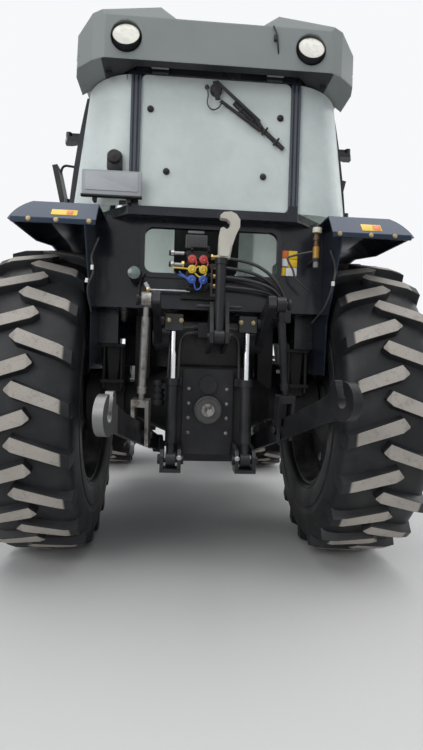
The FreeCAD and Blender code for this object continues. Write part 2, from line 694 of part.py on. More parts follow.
def lift_arms():
    """Cross shaft with the two arms that raise the lift rods, and the pins for the cylinders."""
    y, z = -shaft_back, shaft_height
    parts = [rod((-arm_outer - 14, y, z), (arm_outer + 14, y, z), 45)]
    length = math.hypot(lift_pin_back - shaft_back, lift_pin_height - shaft_height)
    past = 34.0 / length
    for sign in (-1, 1):
        hub = rod((sign * 208, y, z), (sign * arm_outer, y, z), 70)
        x0, x1 = sorted((sign * arm_inner, sign * arm_outer))
        arm = prism_x([along_arm(-0.06, -58), along_arm(0.5, -46), along_arm(1 + past, -32), along_arm(1 + past, 32),
                       along_arm(0.5, 46), along_arm(-0.06, 58)], x0, x1, 14)
        tip = rod((sign * (arm_inner + 4), -lift_pin_back, lift_pin_height),
                  (sign * (lift_pin_x + 46), -lift_pin_back, lift_pin_height), 17)
        cap = rod((sign * (lift_pin_x + 34), -lift_pin_back, lift_pin_height),
                  (sign * (lift_pin_x + 46), -lift_pin_back, lift_pin_height), 26)
        lug = rod((sign * (cylinder_x - 48), -cylinder_head_back, cylinder_head_height),
                  (sign * (arm_inner + 4), -cylinder_head_back, cylinder_head_height), 14)
        collar = rod((sign * (arm_inner - 16), -cylinder_head_back, cylinder_head_height),
                     (sign * (arm_inner + 4), -cylinder_head_back, cylinder_head_height), 28)
        parts += [hub, arm, tip, cap, lug, collar]
    return joined(*parts)


def lift_rod(sign, splay, lean):
    """Hanger from the arm's pin down to a slotted fork over the lower link."""
    x = sign * lift_pin_x
    top = V(x, -lift_pin_back, lift_pin_height)
    foot = lift_foot(sign, splay, lean)
    tilt = math.degrees(math.atan2(foot.y - top.y, top.z - foot.z))
    inner, outer = fork_slot, fork_slot + fork_cheek
    crown = box(-outer, outer, -26, 26, fork_crown, fork_crown + 35)
    cheeks = [box(x0, x0 + fork_cheek, -26, 26, -52, fork_crown + 5) for x0 in (-outer, inner)]
    slot = prism_x([(-18, -22), (18, -22), (18, 22), (-18, 22)], -outer - 1, outer + 1, 15)
    fork = joined(crown, *cheeks).cut(slot)
    fork.rotate(V(0, 0, 0), V(0, 0, 1), sign * splay)
    fork.rotate(V(0, 0, 0), V(1, 0, 0), tilt)
    fork.translate(foot)
    head = foot + (top - foot).normalize() * (fork_crown + 20)
    head.x = foot.x
    axis = (head - top).normalize()
    span = (head - top).Length
    eye = rod((x - 22, top.y, top.z), (x + 22, top.y, top.z), 36)
    screw = rod(tuple(top + axis * 20), tuple(head), 14)
    sleeve = rod(tuple(top + axis * 80), tuple(top + axis * (span - 70)), 19)
    nut = rod(tuple(top + axis * (span - 78)), tuple(top + axis * (span - 46)), 23)
    bore = rod((x - 30, top.y, top.z), (x + 30, top.y, top.z), 17.1)
    return joined(eye, screw, sleeve, nut, fork).cut(bore)


def lift_cylinder(sign):
    """Barrel standing on its foot pin."""
    x = sign * cylinder_x
    foot = V(x, -cylinder_foot_back, cylinder_foot_height)
    head = V(x, -cylinder_head_back, cylinder_head_height)
    axis = (head - foot).normalize()
    barrel = rod(tuple(foot + axis * 82), tuple(foot + axis * (barrel_length - 20)), 30)
    neck = rod(tuple(foot + axis * 20), tuple(foot + axis * 84), 21)
    gland = rod(tuple(foot + axis * (barrel_length - 34)), tuple(foot + axis * barrel_length), 36)
    eye = rod((x - 24, foot.y, foot.z), (x + 24, foot.y, foot.z), 34)
    bore = rod((x - 30, foot.y, foot.z), (x + 30, foot.y, foot.z), 16.08)
    well = rod(tuple(foot + axis * 95), tuple(foot + axis * (barrel_length + 6)), rod_radius + running)
    return joined(barrel, neck, gland, eye).cut(bore).cut(well)


rod_radius = 17.0


def cylinder_rod(sign):
    """Bright rod with the clevis that takes the lift arm's pin, open towards the front."""
    x = sign * cylinder_x
    foot = V(x, -cylinder_foot_back, cylinder_foot_height)
    head = V(x, -cylinder_head_back, cylinder_head_height)
    axis = (head - foot).normalize()
    length = (head - foot).Length
    bar = rod(tuple(foot + axis * 250), tuple(foot + axis * (length - 30)), rod_radius)
    block = box(x - 44, x + 44, head.y - 36, head.y + 30, head.z - 46, head.z + 34)
    seat_of_pin = prism_x([(head.y - 20, head.z - 22), (head.y + 31, head.z - 22), (head.y + 31, head.z + 17),
                           (head.y - 20, head.z + 17)], x - 50, x + 50)
    return joined(bar, block.cut(seat_of_pin))


def cylinder_foot(sign):
    """Clevis under the housing that holds the cylinder's foot."""
    x = sign * cylinder_x
    y, z = -cylinder_foot_back, cylinder_foot_height
    back = housing_back - seat_gap
    parts = []
    for x0 in (x - 52, x + 34):
        parts.append(prism_x([(y - 40, z - 44), (y + 60, z - 48), (back, z - 25),
                              (back, z + 70), (y - 10, z + 52), (y - 40, z + 20)], x0, x0 + 18, 8))
    floor = box(x - 52, x + 52, y - 38, y + 60, z - 60, z - 44)
    pin = rod((x - 62, y, z), (x + 62, y, z), 16)
    heads = [rod((x0, y, z), (x0 + 12, y, z), 24) for x0 in (x - 64, x + 52)]
    return joined(*parts, floor, pin, *heads)


def top_link():
    """Screwed tube stowed upright on its foot pin."""
    x, y = top_link_x, -top_link_back
    z0 = top_link_foot
    z1 = z0 + top_link_tube
    eye = rod((x - 24, y, z0), (x + 24, y, z0), 34)
    tube = rod((x, y, z0 + 25), (x, y, z1), 25)
    collar = rod((x, y, z1 - 28), (x, y, z1), 30)
    grip = rod((x - 42, y, z0 + 190), (x - 42, y, z1 - 30), 6)
    grip_foot = box(x - 48, x, y - 6, y + 6, z0 + 190, z0 + 202)
    grip_head = box(x - 48, x, y - 6, y + 6, z1 - 42, z1 - 28)
    bore = rod((x - 30, y, z0), (x + 30, y, z0), 16.08)
    return joined(eye, tube, collar, grip, grip_foot, grip_head).cut(bore)


def top_link_hook():
    """Cast claw on the upper end, jaw open to the left."""
    x, y = top_link_x, -top_link_back
    z = top_link_foot + top_link_tube + seat_gap
    h = hook_height
    claw = prism_y([(x - 15, z), (x + 40, z), (x + 50, z + 0.27 * h), (x + 66, z + 0.5 * h), (x + 84, z + 0.68 * h),
                    (x + 84, z + 0.83 * h), (x + 66, z + 0.95 * h), (x + 40, z + h), (x + 5, z + 0.98 * h),
                    (x - 12, z + 0.91 * h), (x - 8, z + 0.85 * h), (x + 20, z + 0.84 * h), (x + 37, z + 0.77 * h),
                    (x + 37, z + 0.68 * h), (x + 22, z + 0.61 * h), (x + 4, z + 0.66 * h), (x - 8, z + 0.63 * h),
                    (x - 14, z + 0.5 * h), (x - 16, z + 0.27 * h)], y - 22, y + 22, 4)
    cheeks = prism_y([(x - 12, z + 6), (x + 34, z + 6), (x + 42, z + 0.3 * h), (x - 12, z + 0.27 * h)], y - 32, y + 32, 8)
    return joined(claw, cheeks)


def top_link_bracket():
    """Ears on the lift housing with the pin of the top link, and the cross pin over them."""
    x, y, z = top_link_x, -top_link_back, top_link_foot
    back = -shaft_back - 100 - seat_gap
    ears = []
    for x0 in (x - 46, x + 28):
        ears.append(prism_x([(y - 34, z - 34), (back, z - 80), (back, z + 60), (y + 60, z + 170), (y + 20, z + 170),
                             (y - 34, z + 20)], x0, x0 + 18, 8))
    plate = box(x - 46, x + 46, back - 24, back, z - 80, z + 40)
    pin = rod((x - 56, y, z), (x + 56, y, z), 16)
    cross = rod((x - 108, y + 42, z + 148), (x + 108, y + 42, z + 148), 9)
    return joined(*ears, plate, pin, cross)


def make_linkage():
    for side, sign, splay, lean in link_table:
        save("lower_link_" + side, lower_link(sign, splay, lean))
        save("lift_rod_" + side, lift_rod(sign, splay, lean))
    save("cylinder_barrels", Part.makeCompound([lift_cylinder(s) for s in (-1, 1)]))
    save("cylinder_rods", Part.makeCompound([cylinder_rod(s) for s in (-1, 1)]))
    save("lift_arms", lift_arms())
    brackets = [link_bracket(s) for s in (-1, 1)] + [cylinder_foot(s) for s in (-1, 1)]
    brackets += [joined(top_link_bracket(), manifold()), pto_plate(), canister()] + [hose_block(s) for s in (-1, 1)]
    save("rear_brackets", Part.makeCompound(brackets))
    save("top_link", Part.makeCompound([top_link(), top_link_hook()]))


# Cab

def side_arc(offset):
    """Bulging side wall of the cab seen from behind, moved inwards by offset: (x, z) of foot, belly and head."""
    return [(800 - offset, 1040), (822 - offset, 1850), (722 - offset, 2620)]


def side_band(outer, inner, y0, y1):
    """Wall between two offsets of the side arc, right hand side."""
    a, b = side_arc(outer), side_arc(inner)
    edges = [
        Part.Arc(*[V(x, y0, z) for x, z in a]).toShape(),
        Part.LineSegment(V(a[2][0], y0, a[2][1]), V(b[2][0], y0, b[2][1])).toShape(),
        Part.Arc(*[V(x, y0, z) for x, z in reversed(b)]).toShape(),
        Part.LineSegment(V(b[0][0], y0, b[0][1]), V(a[0][0], y0, a[0][1])).toShape(),
    ]
    return Part.Face(Part.Wire(edges)).extrude(V(0, y1 - y0, 0))


door_rail = 42.0
door_pin_x = 836.0
door_pin_y = -118.0
door_hinge_heights = (2010.0, 2400.0)
door_foot = cab_floor + 40.0
door_sill = cab_waist + 10.0         # foot of the door over the mudguard
door_outline = [(door_hinge_y, cab_top - 25), (door_front_y - 90, cab_top - 25), (door_front_y, door_foot),
                (door_front_y - 200, door_foot), (900, 1560), (560, door_sill), (door_hinge_y, door_sill)]


def shrunk(points, gap):
    """Outline of Y, Z points moved inwards by gap (outwards if gap is negative)."""
    wire = outline([(0, y, z) for y, z in points])
    return Part.Face(wire.makeOffset2D(-gap, 2))


def side_plug(points, gap):
    face = shrunk(points, gap)
    face.translate(V(500, 0, 0))
    return face.extrude(V(500, 0, 0))


def door_frame():
    slab = side_band(0, 38, door_hinge_y, door_front_y)
    hoop = side_plug(door_outline, 0).cut(side_plug(door_outline, door_rail))
    pins = Part.makeCompound([rod((door_pin_x, door_pin_y, z - 1), (door_pin_x, door_pin_y, z + 41), 9 + running)
                              for z in door_hinge_heights])
    return joined(slab.common(hoop), *door_eyes()).cut(pins)


def door_eyes():
    """Two eyes on the door's rear rail that turn on the pins of the rear post."""
    parts = []
    for z in door_hinge_heights:
        x = door_pin_x
        parts.append(rod((x, door_pin_y, z), (x, door_pin_y, z + 40), 17))
        skin = side_x(z + 20)
        parts.append(box(skin + 3, x, door_pin_y, door_hinge_y + 26, z, z + 40))
        parts.append(box(skin - 24, skin + 4, door_hinge_y + 1, door_hinge_y + 26, z, z + 40))
    return parts


def hinge_pins():
    """Brackets on the rear posts, each with the pin of one hinge."""
    parts = []
    for z in door_hinge_heights:
        x = door_pin_x
        parts.append(rod((x, door_pin_y, z - 30), (x, door_pin_y, z + 36), 9))
        parts.append(prism_z([(side_x(z) - 30, door_pin_y - 60), (x - 4, door_pin_y - 60), (x + 17, door_pin_y - 16),
                              (x + 17, door_pin_y + 17), (x - 17, door_pin_y + 17), (side_x(z) - 30, door_pin_y - 20)],
                             z - 30, z - 6))
    return parts


def side_x(z):
    """Outer face of the cab's side wall at height z."""
    a, b, c = side_arc(0)
    arc = Part.Arc(V(a[0], 0, a[1]), V(b[0], 0, b[1]), V(c[0], 0, c[1])).toShape()
    line = Part.LineSegment(V(0, 0, z), V(2000, 0, z)).toShape()
    return arc.distToShape(line)[1][0][0].x


def door_glass():
    slab = side_band(10, 10 + glass, door_hinge_y, door_front_y)
    return slab.common(side_plug(door_outline, door_rail + 0.3))


def head_plan(grow):
    """Outline in X, Y of the cab's head rails, grown sideways and backwards by grow."""
    return [(-405, cab_rear - grow), (405, cab_rear - grow), (690 + grow, -250 - grow), (690 + grow, 1150), (620, 1180),
            (-620, 1180), (-690 - grow, 1150), (-690 - grow, -250 - grow)]


panel_y = -470.0                     # back face of the rear panel
panel_sheet = 22.0
post_outer = fender_wall_x - seat_gap
window_half = 351.0                  # low window in the rear panel
window_low = 1575.0
window_high = 1811.0


def rear_panel():
    """Panel under the rear window with the low window, between the mudguards' inner walls."""
    wide = box(-post_outer, post_outer, panel_y, panel_y + panel_sheet, cab_platform - 22, fender_top - sheet - seat_gap)
    middle = box(-555, 555, panel_y, panel_y + panel_sheet, cab_platform, cab_waist - 30)
    opening = prism_y([(-window_half, window_low), (window_half, window_low), (window_half, window_high),
                       (-window_half, window_high)], panel_y - 20, panel_y + panel_sheet + 10, 45)
    rim = prism_y([(-window_half - 26, window_low - 26), (window_half + 26, window_low - 26),
                   (window_half + 26, window_high + 26), (-window_half - 26, window_high + 26)],
                  panel_y - 12, panel_y + 2, 60)
    return joined(wide, middle, rim).cut(opening)


def cab_frame():
    """Floor, seat platform, rear panel, posts and roof rails; hollow inside."""
    parts = []
    outer = [(-190, cab_top), (1150, cab_top), (cab_front - 10, cab_floor), (905, cab_floor), (885, 1340), (835, 1590),
             (520, fender_top + 12), (-190, fender_top + 12)]
    frame_side = side_band(2, 50, -190, cab_front - 10).common(
        side_plug(outer, 0).cut(side_plug(door_outline, -5)))
    frame_side = joined(frame_side, *hinge_pins())
    parts += [frame_side, mirrored(frame_side)]
    parts.append(bonnet_hinge())
    # head rails and cross members
    parts.append(prism_z(head_plan(0), cab_top - 50, cab_top).cut(
        prism_z([(-380, cab_rear + 45), (380, cab_rear + 45), (640, -225), (640, 1120), (-640, 1120),
                 (-640, -225)], cab_top - 51, cab_top + 1)))
    for sign in (-1, 1):
        x0, x1 = sorted((sign * 385, sign * 435))
        parts.append(box(x0, x1, cab_rear, cab_rear + 45, cab_waist - 20, cab_top - 40))
        hinge = box(sign * 290 - 40, sign * 290 + 40, cab_rear - 40, cab_rear + 10, cab_top - 36, cab_top - 8)
        flap = box(sign * 290 - 40, sign * 290 + 40, cab_rear - 28, cab_rear - 14, cab_top - 58, cab_top - 30)
        parts += [hinge, flap]
    parts.append(prism_z([(-435, cab_rear), (435, cab_rear), (770, -230), (770, -150), (700, -150), (420, cab_rear + 60),
                          (-420, cab_rear + 60), (-700, -150), (-770, -150), (-770, -230)], cab_waist - 45, cab_waist))
    parts.append(rear_panel())
    # platform under the seat, riser and foot well
    parts.append(box(-555, 555, panel_y, 640, cab_platform - 22, cab_platform))
    parts.append(box(-555, 555, 620, 642, cab_floor, cab_platform - 10))
    parts.append(box(-780, 780, 860, cab_front - 10, cab_floor - 22, cab_floor))
    parts.append(box(-555, 555, 620, 900, cab_floor - 22, cab_floor))
    for sign in (-1, 1):
        x0, x1 = sorted((sign * 535, sign * 555))
        parts.append(box(x0, x1, panel_y, 642, cab_platform - 10, cab_waist - 25))
        parts.append(box(x0, x1, 640, 870, cab_floor, cab_platform + 90))
        x0, x1 = sorted((sign * 497, sign * post_outer))
        parts.append(box(x0, x1, -310, -190, post_foot, fender_top - sheet - seat_gap))
    # bulkhead under the windscreen
    parts.append(box(-560, 560, cab_front - 40, cab_front - 18, cab_floor, 1700))
    parts.append(box(-760, 760, cab_front - 60, cab_front - 10, cab_floor - 22, cab_floor + 28))
    parts.append(box(-790, 790, cab_front - 64, cab_front - 24, 1690, 1730).common(
        box(-790, 790, 0, cab_front - 10, 1600, 1800)))
    return joined(*parts)


def windscreen():
    """Bowed glass from the bulkhead up to the roof, leaning back."""
    def band(z, half, front, side):
        a = [V(-half, side, z), V(0, front, z), V(half, side, z)]
        b = [V(half, side - glass, z), V(0, front - glass, z), V(-half, side - glass, z)]
        return Part.Wire([Part.Arc(*a).toShape(), Part.LineSegment(a[2], b[0]).toShape(),
                          Part.Arc(*b).toShape(), Part.LineSegment(b[2], a[0]).toShape()])
    foot = band(1730.3, 735, cab_front + 35, cab_front - 5)
    return Part.makeLoft([foot, band(cab_top - 50.3, 660, 1195, 1162)], True, True)


def rear_window():
    """Single top-hung pane between the rear posts."""
    y = cab_rear + 12
    return prism_y([(-384.6, cab_waist + 0.3), (384.6, cab_waist + 0.3), (384.6, cab_top - 50.3), (-384.6, cab_top - 50.3)],
                   y, y + glass, 30)


def corner_glass(sign):
    """Curved quarter pane from the rear post round to the door post."""
    def band(z, side_x):
        a = [V(436, cab_rear + 14, z), V(side_x - 95, cab_rear + 95, z), V(side_x - 2, -195, z)]
        b = [V(side_x - 2 - glass, -195, z), V(side_x - 95 - glass * 0.7, cab_rear + 95 + glass * 0.7, z),
             V(436, cab_rear + 14 + glass, z)]
        return Part.Wire([Part.Arc(*a).toShape(), Part.LineSegment(a[2], b[0]).toShape(),
                          Part.Arc(*b).toShape(), Part.LineSegment(b[2], a[0]).toShape()])
    pane = Part.makeLoft([band(cab_waist + 0.3, 772), band(cab_top - 50.3, 690)], True, True)
    return pane if sign > 0 else mirrored(pane)


roof_back = -655.0
roof_front = 1330.0
roof_skirt = 43.0                    # the roof's back edge below the head rails' top
work_lamp_x = 455.0
work_lamp_z = 2680.0
work_lamp_radius = 66.0
work_lamp_tilt = 16.0                # lens turned upwards
front_lamp_radius = 46.0
# half of the roof's section from its lower edge to the middle: x, height over the head rails
roof_half_section = [(roof_half_width, 40), (706, 118), (622, 185), (292, roof_rise), (215, 168)]
# half of the roof's plan: x, y
roof_half_plan = [(560, roof_back), (622, -625), (706, -550), (roof_half_width, -470), (roof_half_width, 1120), (560, roof_front)]


def lamp_axis(x):
    """Middle of a rear work lamp's lens and the direction it shines in."""
    tilt = math.radians(work_lamp_tilt)
    return V(x, roof_back - 8, work_lamp_z), V(0, -math.cos(tilt), math.sin(tilt))


def cab_roof():
    """Moulded roof: two raised side rails with a lower middle, facetted corners and a skirt round the back."""
    low = cab_top + seat_gap
    section = [(-680, low)] + [(-x, cab_top + z) for x, z in roof_half_section]
    section += [(x, cab_top + z) for x, z in reversed(roof_half_section)] + [(680, low)]
    body = prism_y(section, roof_back - 20, roof_front + 20)
    edge = roof_top - 62
    side = prism_x([(roof_back, low), (roof_back, edge), (roof_back + 24, roof_top + 40), (1180, roof_top + 40),
                    (roof_front, roof_top - 110), (roof_front, roof_top - 140), (1235, low)], -800, 800)
    plan = [(x, y) for x, y in roof_half_plan] + [(-x, y) for x, y in reversed(roof_half_plan)]
    shell = body.common(side).common(prism_z(plan, cab_top - 100, roof_top + 100))
    corner = [(x, y) for x, y in roof_half_plan[:4]] + [(roof_half_width, -300), (-roof_half_width, -300)]
    corner += [(-x, y) for x, y in reversed(roof_half_plan[:4])]
    skirt = prism_z(corner, cab_top - roof_skirt, low + 10).cut(prism_z(head_plan(44), cab_top - 100, low))
    shell = joined(shell, skirt)
    for x in (-work_lamp_x, work_lamp_x):
        lens, out = lamp_axis(x)
        shell = shell.cut(rod(tuple(lens - out * 84.3), tuple(lens + out * 90), work_lamp_radius + 9))
        shell = shell.cut(rod((x, roof_front - 70, 2706), (x, roof_front + 60, 2682), front_lamp_radius + 0.3))
    return shell


def work_lamps():
    """Round lamps: two cups in the roof's back face, two in its front, and the tail lamp on the rear panel."""
    pieces = []
    for x in (-work_lamp_x, work_lamp_x):
        lens, out = lamp_axis(x)
        cup = rod(tuple(lens - out * 84), tuple(lens), work_lamp_radius)
        hollow = rod(tuple(lens - out * 6), tuple(lens + out), work_lamp_radius - 7)
        pieces.append(cup.cut(hollow))
        pieces.append(rod((x, roof_front - 69, 2705.8), (x, roof_front + 8, 2691.6), front_lamp_radius))
    tail = rod((-392, panel_y - seat_gap - 130, 1547), (-392, panel_y - seat_gap, 1547), 33)
    return Part.makeCompound(pieces + [tail])


def fender_section(y, drop, hollow):
    """Section across the right mudguard at y: flat top, rounded shoulder and the lip, drop lower; or the hollow in it."""
    t = sheet if hollow else 0.0
    top = fender_top - t
    low = fender_top - drop - (3 if hollow else 0)
    inner = fender_inner_x - (5 if hollow else 0)
    outer = fender_outer_x - t
    shoulder = fender_outer_x - 88
    a, b, c, d = V(inner, y, top), V(shoulder, y, top), V(outer, y, low), V(inner, y, low)
    middle = V(shoulder + 0.60 * (outer - shoulder), y, top - 0.36 * (top - low))
    return Part.Wire([Part.LineSegment(a, b).toShape(), Part.Arc(b, middle, c).toShape(),
                      Part.LineSegment(c, d).toShape(), Part.LineSegment(d, a).toShape()])


fender_drops = [(0.0, 45.0), (-330.0, 98.0), (-800.0, 113.0)]     # y, lip below the top


def fender_body(hollow):
    """Arch swept round the axle in front, running level behind, cut by the slanted back."""
    front = Part.Face(fender_section(0, fender_drops[0][1], hollow))
    front = front.revolve(V(0, 0, rear_tyre_radius), V(1, 0, 0), fender_front_angle - 90)
    rear = Part.makeLoft([fender_section(y, drop, hollow) for y, drop in fender_drops], True, True)
    step = sheet if hollow else 0.0
    back = prism_x([(10, 1000), (10, fender_top + 50), (-fender_back + 92 + step, fender_top + 50),
                    (-fender_back + 92 + step, fender_top), (-fender_back + step, fender_top - 113),
                    (-fender_back + step, 1000)], 400, 1100)
    return joined(front, rear.common(back))


def fender(sign):
    """Right or left mudguard: arched top with its rounded shoulder, slanted back with a flange, and the inner wall."""
    r = fender_top - rear_tyre_radius - 4
    z = rear_tyre_radius
    shell = fender_body(False).cut(fender_body(True))
    low = fender_top - 113
    flange = box(fender_inner_x, fender_outer_x - 14, -fender_back, -fender_back + sheet, low - 12, low + 12)
    arc = [V(fender_wall_x, r * math.cos(math.radians(a)), z + r * math.sin(math.radians(a)))
           for a in (fender_front_angle, 56, 90)]
    corners = [(-fender_back + 94, fender_top - 4), (-fender_back + 8, low + 6), (-560, 1330), (-540, 1060), (700, 1060)]
    points = [V(fender_wall_x, y, h) for y, h in corners]
    edges = [Part.Arc(*arc).toShape(), Part.LineSegment(arc[2], points[0]).toShape()]
    edges += [Part.LineSegment(points[i], points[i + 1]).toShape() for i in range(4)]
    edges.append(Part.LineSegment(points[4], arc[0]).toShape())
    wall = Part.Face(Part.Wire(edges)).extrude(V(sheet, 0, 0))
    whole = joined(shell, flange, wall)
    return whole if sign > 0 else mirrored(whole)


def seat():
    """Driver's seat: suspension box, cushion and back."""
    z = cab_platform + seat_gap
    base = box(-150, 150, 120, 480, z, z + 155)
    cushion = prism_x([(30, z + 180), (60, z + 150), (520, z + 150), (560, z + 190), (540, z + 258), (60, z + 240)], -245, 245, 18)
    back = prism_x([(40, z + 230), (-60, z + 670), (-20, z + 720), (50, z + 710), (150, z + 250)], -235, 235, 18)
    return joined(base, cushion, back)


dash_front = cab_front - 64.3
column_tilt = 34.0
wheel_centre = V(0, 880, 1860)
wheel_axis = V(0, -math.sin(math.radians(column_tilt)), math.cos(math.radians(column_tilt)))


def dash():
    """Steering pedestal with the instrument hood."""
    column = box(-150, 150, 1040, dash_front, cab_floor + 0.3, 1640)
    cowl = prism_x([(950, 1640), (dash_front, 1640), (dash_front, 1780), (1110, 1830), (970, 1700)], -260, 260, 14)
    low, high = wheel_centre - wheel_axis * 300, wheel_centre
    return joined(column, cowl).cut(rod(tuple(low), tuple(high), 22 + running))


def steering_wheel():
    ring = Part.makeTorus(200, 15, V(0, 0, 0), V(0, 0, 1))
    hub = Part.makeCylinder(45, 50, V(0, 0, -40))
    spokes = []
    for k in range(3):
        spoke = box(-12, 12, 0, 200, -12, 0)
        spoke.rotate(V(0, 0, 0), V(0, 0, 1), 120 * k)
        spokes.append(spoke)
    shaft = rod((0, 0, -190), (0, 0, -30), 22)
    wheel = joined(ring, hub, shaft, *spokes)
    wheel.rotate(V(0, 0, 0), V(1, 0, 0), column_tilt)
    wheel.translate(wheel_centre)
    return wheel


def mirrors():
    """Outside mirrors on tubular arms from the front posts, turned in beside the cab."""
    face = side_x(2440) - 2 + seat_gap
    foot = box(face, face + 26, 1104, 1148, 2440, 2500)
    arm = bent_tube([(face + 14, 1126, 2470), (face + 80, 1210, 2735), (1190, 1250, 2790), (1232, 1250, 2610)], 10, 40)
    plate = box(-22, 22, -95, 95, -215, 215)
    plate.rotate(V(0, 0, 0), V(0, 1, 0), 13)
    plate.translate(V(1188, 1250, 2545))
    return both(joined(foot, arm, plate))


def steps(sign):
    """Three treads between two side plates, hung below the door."""
    x0, x1 = 575.0, 870.0
    y0, y1 = cab_front - 320, cab_front + 40
    top = cab_floor - 22 - seat_gap
    parts = [box(x0, x1, y0, y0 + 8, 420, top), box(x0, x1, y1 - 8, y1, 420, top)]
    for z in (430, 650, 870):
        parts.append(box(x0, x1, y0, y1, z, z + 22))
    whole = joined(*parts)
    return whole if sign > 0 else mirrored(whole)


tank_back = cab_front + 50.3
tank_front = wheelbase - front_tyre_radius - 157.0


def fuel_tank():
    return prism_x([(tank_back, 560), (tank_back + 30, 520), (tank_front - 30, 520), (tank_front, 560), (tank_front, 930),
                    (tank_front - 30, 970), (tank_back + 30, 970), (tank_back, 940)], -760, -345, 25)


def battery_box():
    front = tank_front - 110
    return prism_x([(tank_back, 620), (front, 620), (front, 940), (tank_back, 940)], 345, 740, 20)


def tank_brackets():
    """Bars that hang the tank and the battery box on the engine's sides."""
    pieces = []
    for y in (tank_back + 100, tank_front - 170):
        for x0, x1 in ((-344.7, -230.3), (230.3, 344.7)):
            pieces.append(box(x0, x1, y, y + 50, 870, 930))
    return pieces


def exhaust():
    """Stack beside the right front post: elbow out from under the bonnet, silencer and cut tip."""
    y = cab_front + 170
    stack = bent_tube([(230.6, y, 976), (425, y, 976), (425, y, 2660), (490, y, 2750)], 28, 60)
    can = rod((425, y, 1750), (425, y, 2350), 74)
    return joined(stack, can)


def bonnet_section(y, half, top, low, edge):
    """Arched section of the bonnet at y: flat sides, rounded shoulders, gently crowned top."""
    pts = [V(-half, y, low), V(-half, y, top - edge * 1.6), V(-half + edge * 0.35, y, top - edge * 0.55),
           V(-half + edge, y, top - edge * 0.12), V(0, y, top), V(half - edge, y, top - edge * 0.12),
           V(half - edge * 0.35, y, top - edge * 0.55), V(half, y, top - edge * 1.6), V(half, y, low)]
    return Part.Wire([
        Part.LineSegment(pts[0], pts[1]).toShape(),
        Part.Arc(pts[1], pts[2], pts[3]).toShape(),
        Part.Arc(pts[3], pts[4], pts[5]).toShape(),
        Part.Arc(pts[5], pts[6], pts[7]).toShape(),
        Part.LineSegment(pts[7], pts[8]).toShape(),
        Part.LineSegment(pts[8], pts[0]).toShape()])


bonnet_low = 1010.0
bonnet_back = cab_front + 50.0
bonnet_nose = front_reach - 310.0
bonnet_hinge_y = bonnet_back + 22.0
bonnet_hinge_z = 1592.0
# y, half width, top
bonnet_table = [(bonnet_back, 315.0, 1640.0), (bonnet_back + 850, 305.0, 1590.0), (bonnet_nose - 190, 290.0, 1480.0),
                (bonnet_nose, 275.0, 1400.0)]


def bonnet():
    outer = Part.makeLoft([bonnet_section(y, w, t, bonnet_low, 90) for y, w, t in bonnet_table], True, True)
    inner = Part.makeLoft([bonnet_section(y, w - 16, t - 16, bonnet_low - 20, 82) for y, w, t in
                           [(bonnet_table[0][0] - 5,) + bonnet_table[0][1:]] + bonnet_table[1:-1]
                           + [(bonnet_table[-1][0] + 5,) + bonnet_table[-1][1:]]], True, True)
    shell = outer.cut(inner)
    vents = []
    for k in range(5):
        y = bonnet_back + 680 + k * 95
        vents.append(box(-400, 400, y, y + 60, 1110, 1330))
    eye_bore = rod((-200, bonnet_hinge_y, bonnet_hinge_z), (200, bonnet_hinge_y, bonnet_hinge_z), 10 + running)
    return joined(shell.cut(Part.makeCompound(vents)), *bonnet_eyes()).cut(eye_bore)


def bonnet_hinge():
    """Cross bar on two arms of the bulkhead, on which the bonnet's eyes turn."""
    y, z = bonnet_hinge_y, bonnet_hinge_z
    bar = rod((-210, y, z), (210, y, z), 10)
    arm = [(cab_front - 18, z - 60), (y + 8, z - 44), (y + 8, z + 6), (y - 8, z + 6), (y - 18, z - 20), (cab_front - 18, z - 20)]
    arms = [prism_x(arm, x - 6, x + 6) for x in (-190, 190)]
    return joined(bar, *arms)


def bonnet_eyes():
    """Straps under the bonnet's crown, ending in the eyes of its hinge."""
    y, z = bonnet_hinge_y, bonnet_hinge_z
    parts = []
    for x in (-130, 130):
        parts.append(rod((x - 14, y, z), (x + 14, y, z), 18))
        parts.append(box(x - 14, x + 14, y, y + 120, z - 6, z + 6))
        parts.append(box(x - 14, x + 14, y + 80, y + 120, z - 6, z + 30))
    return parts


def grille():
    """Front grille: frame, cross bars and the two lamp pods."""
    y = bonnet_table[-1][0]
    frame = Part.Face(bonnet_section(y - 30, 259.2, 1384.2, bonnet_low, 82)).extrude(V(0, 26, 0))
    hole = prism_y([(-200, 1050), (200, 1050), (200, 1225), (-200, 1225)], y - 40, y + 10, 25)
    bars = [box(-205, 205, y - 24, y - 12, z, z + 12) for z in range(1080, 1225, 28)]
    return joined(frame.cut(hole), *bars)


def head_lamps():
    y = bonnet_table[-1][0]
    lamp = prism_y([(60, 1250), (205, 1250), (215, 1330), (60, 1310)], y - 3.7, y + 16, 12)
    return both(lamp)


valve_left = -130.0
valve_right = -20.0
valve_sections = (1506.0, 1557.0, 1606.0, 1655.0)
coupler_rows = (1513.0, 1563.0, 1612.0)      # caps from the bottom up: blue, yellow, red
coupler_columns = (-105.0, -50.0)
panel_back = panel_y - 12 - seat_gap


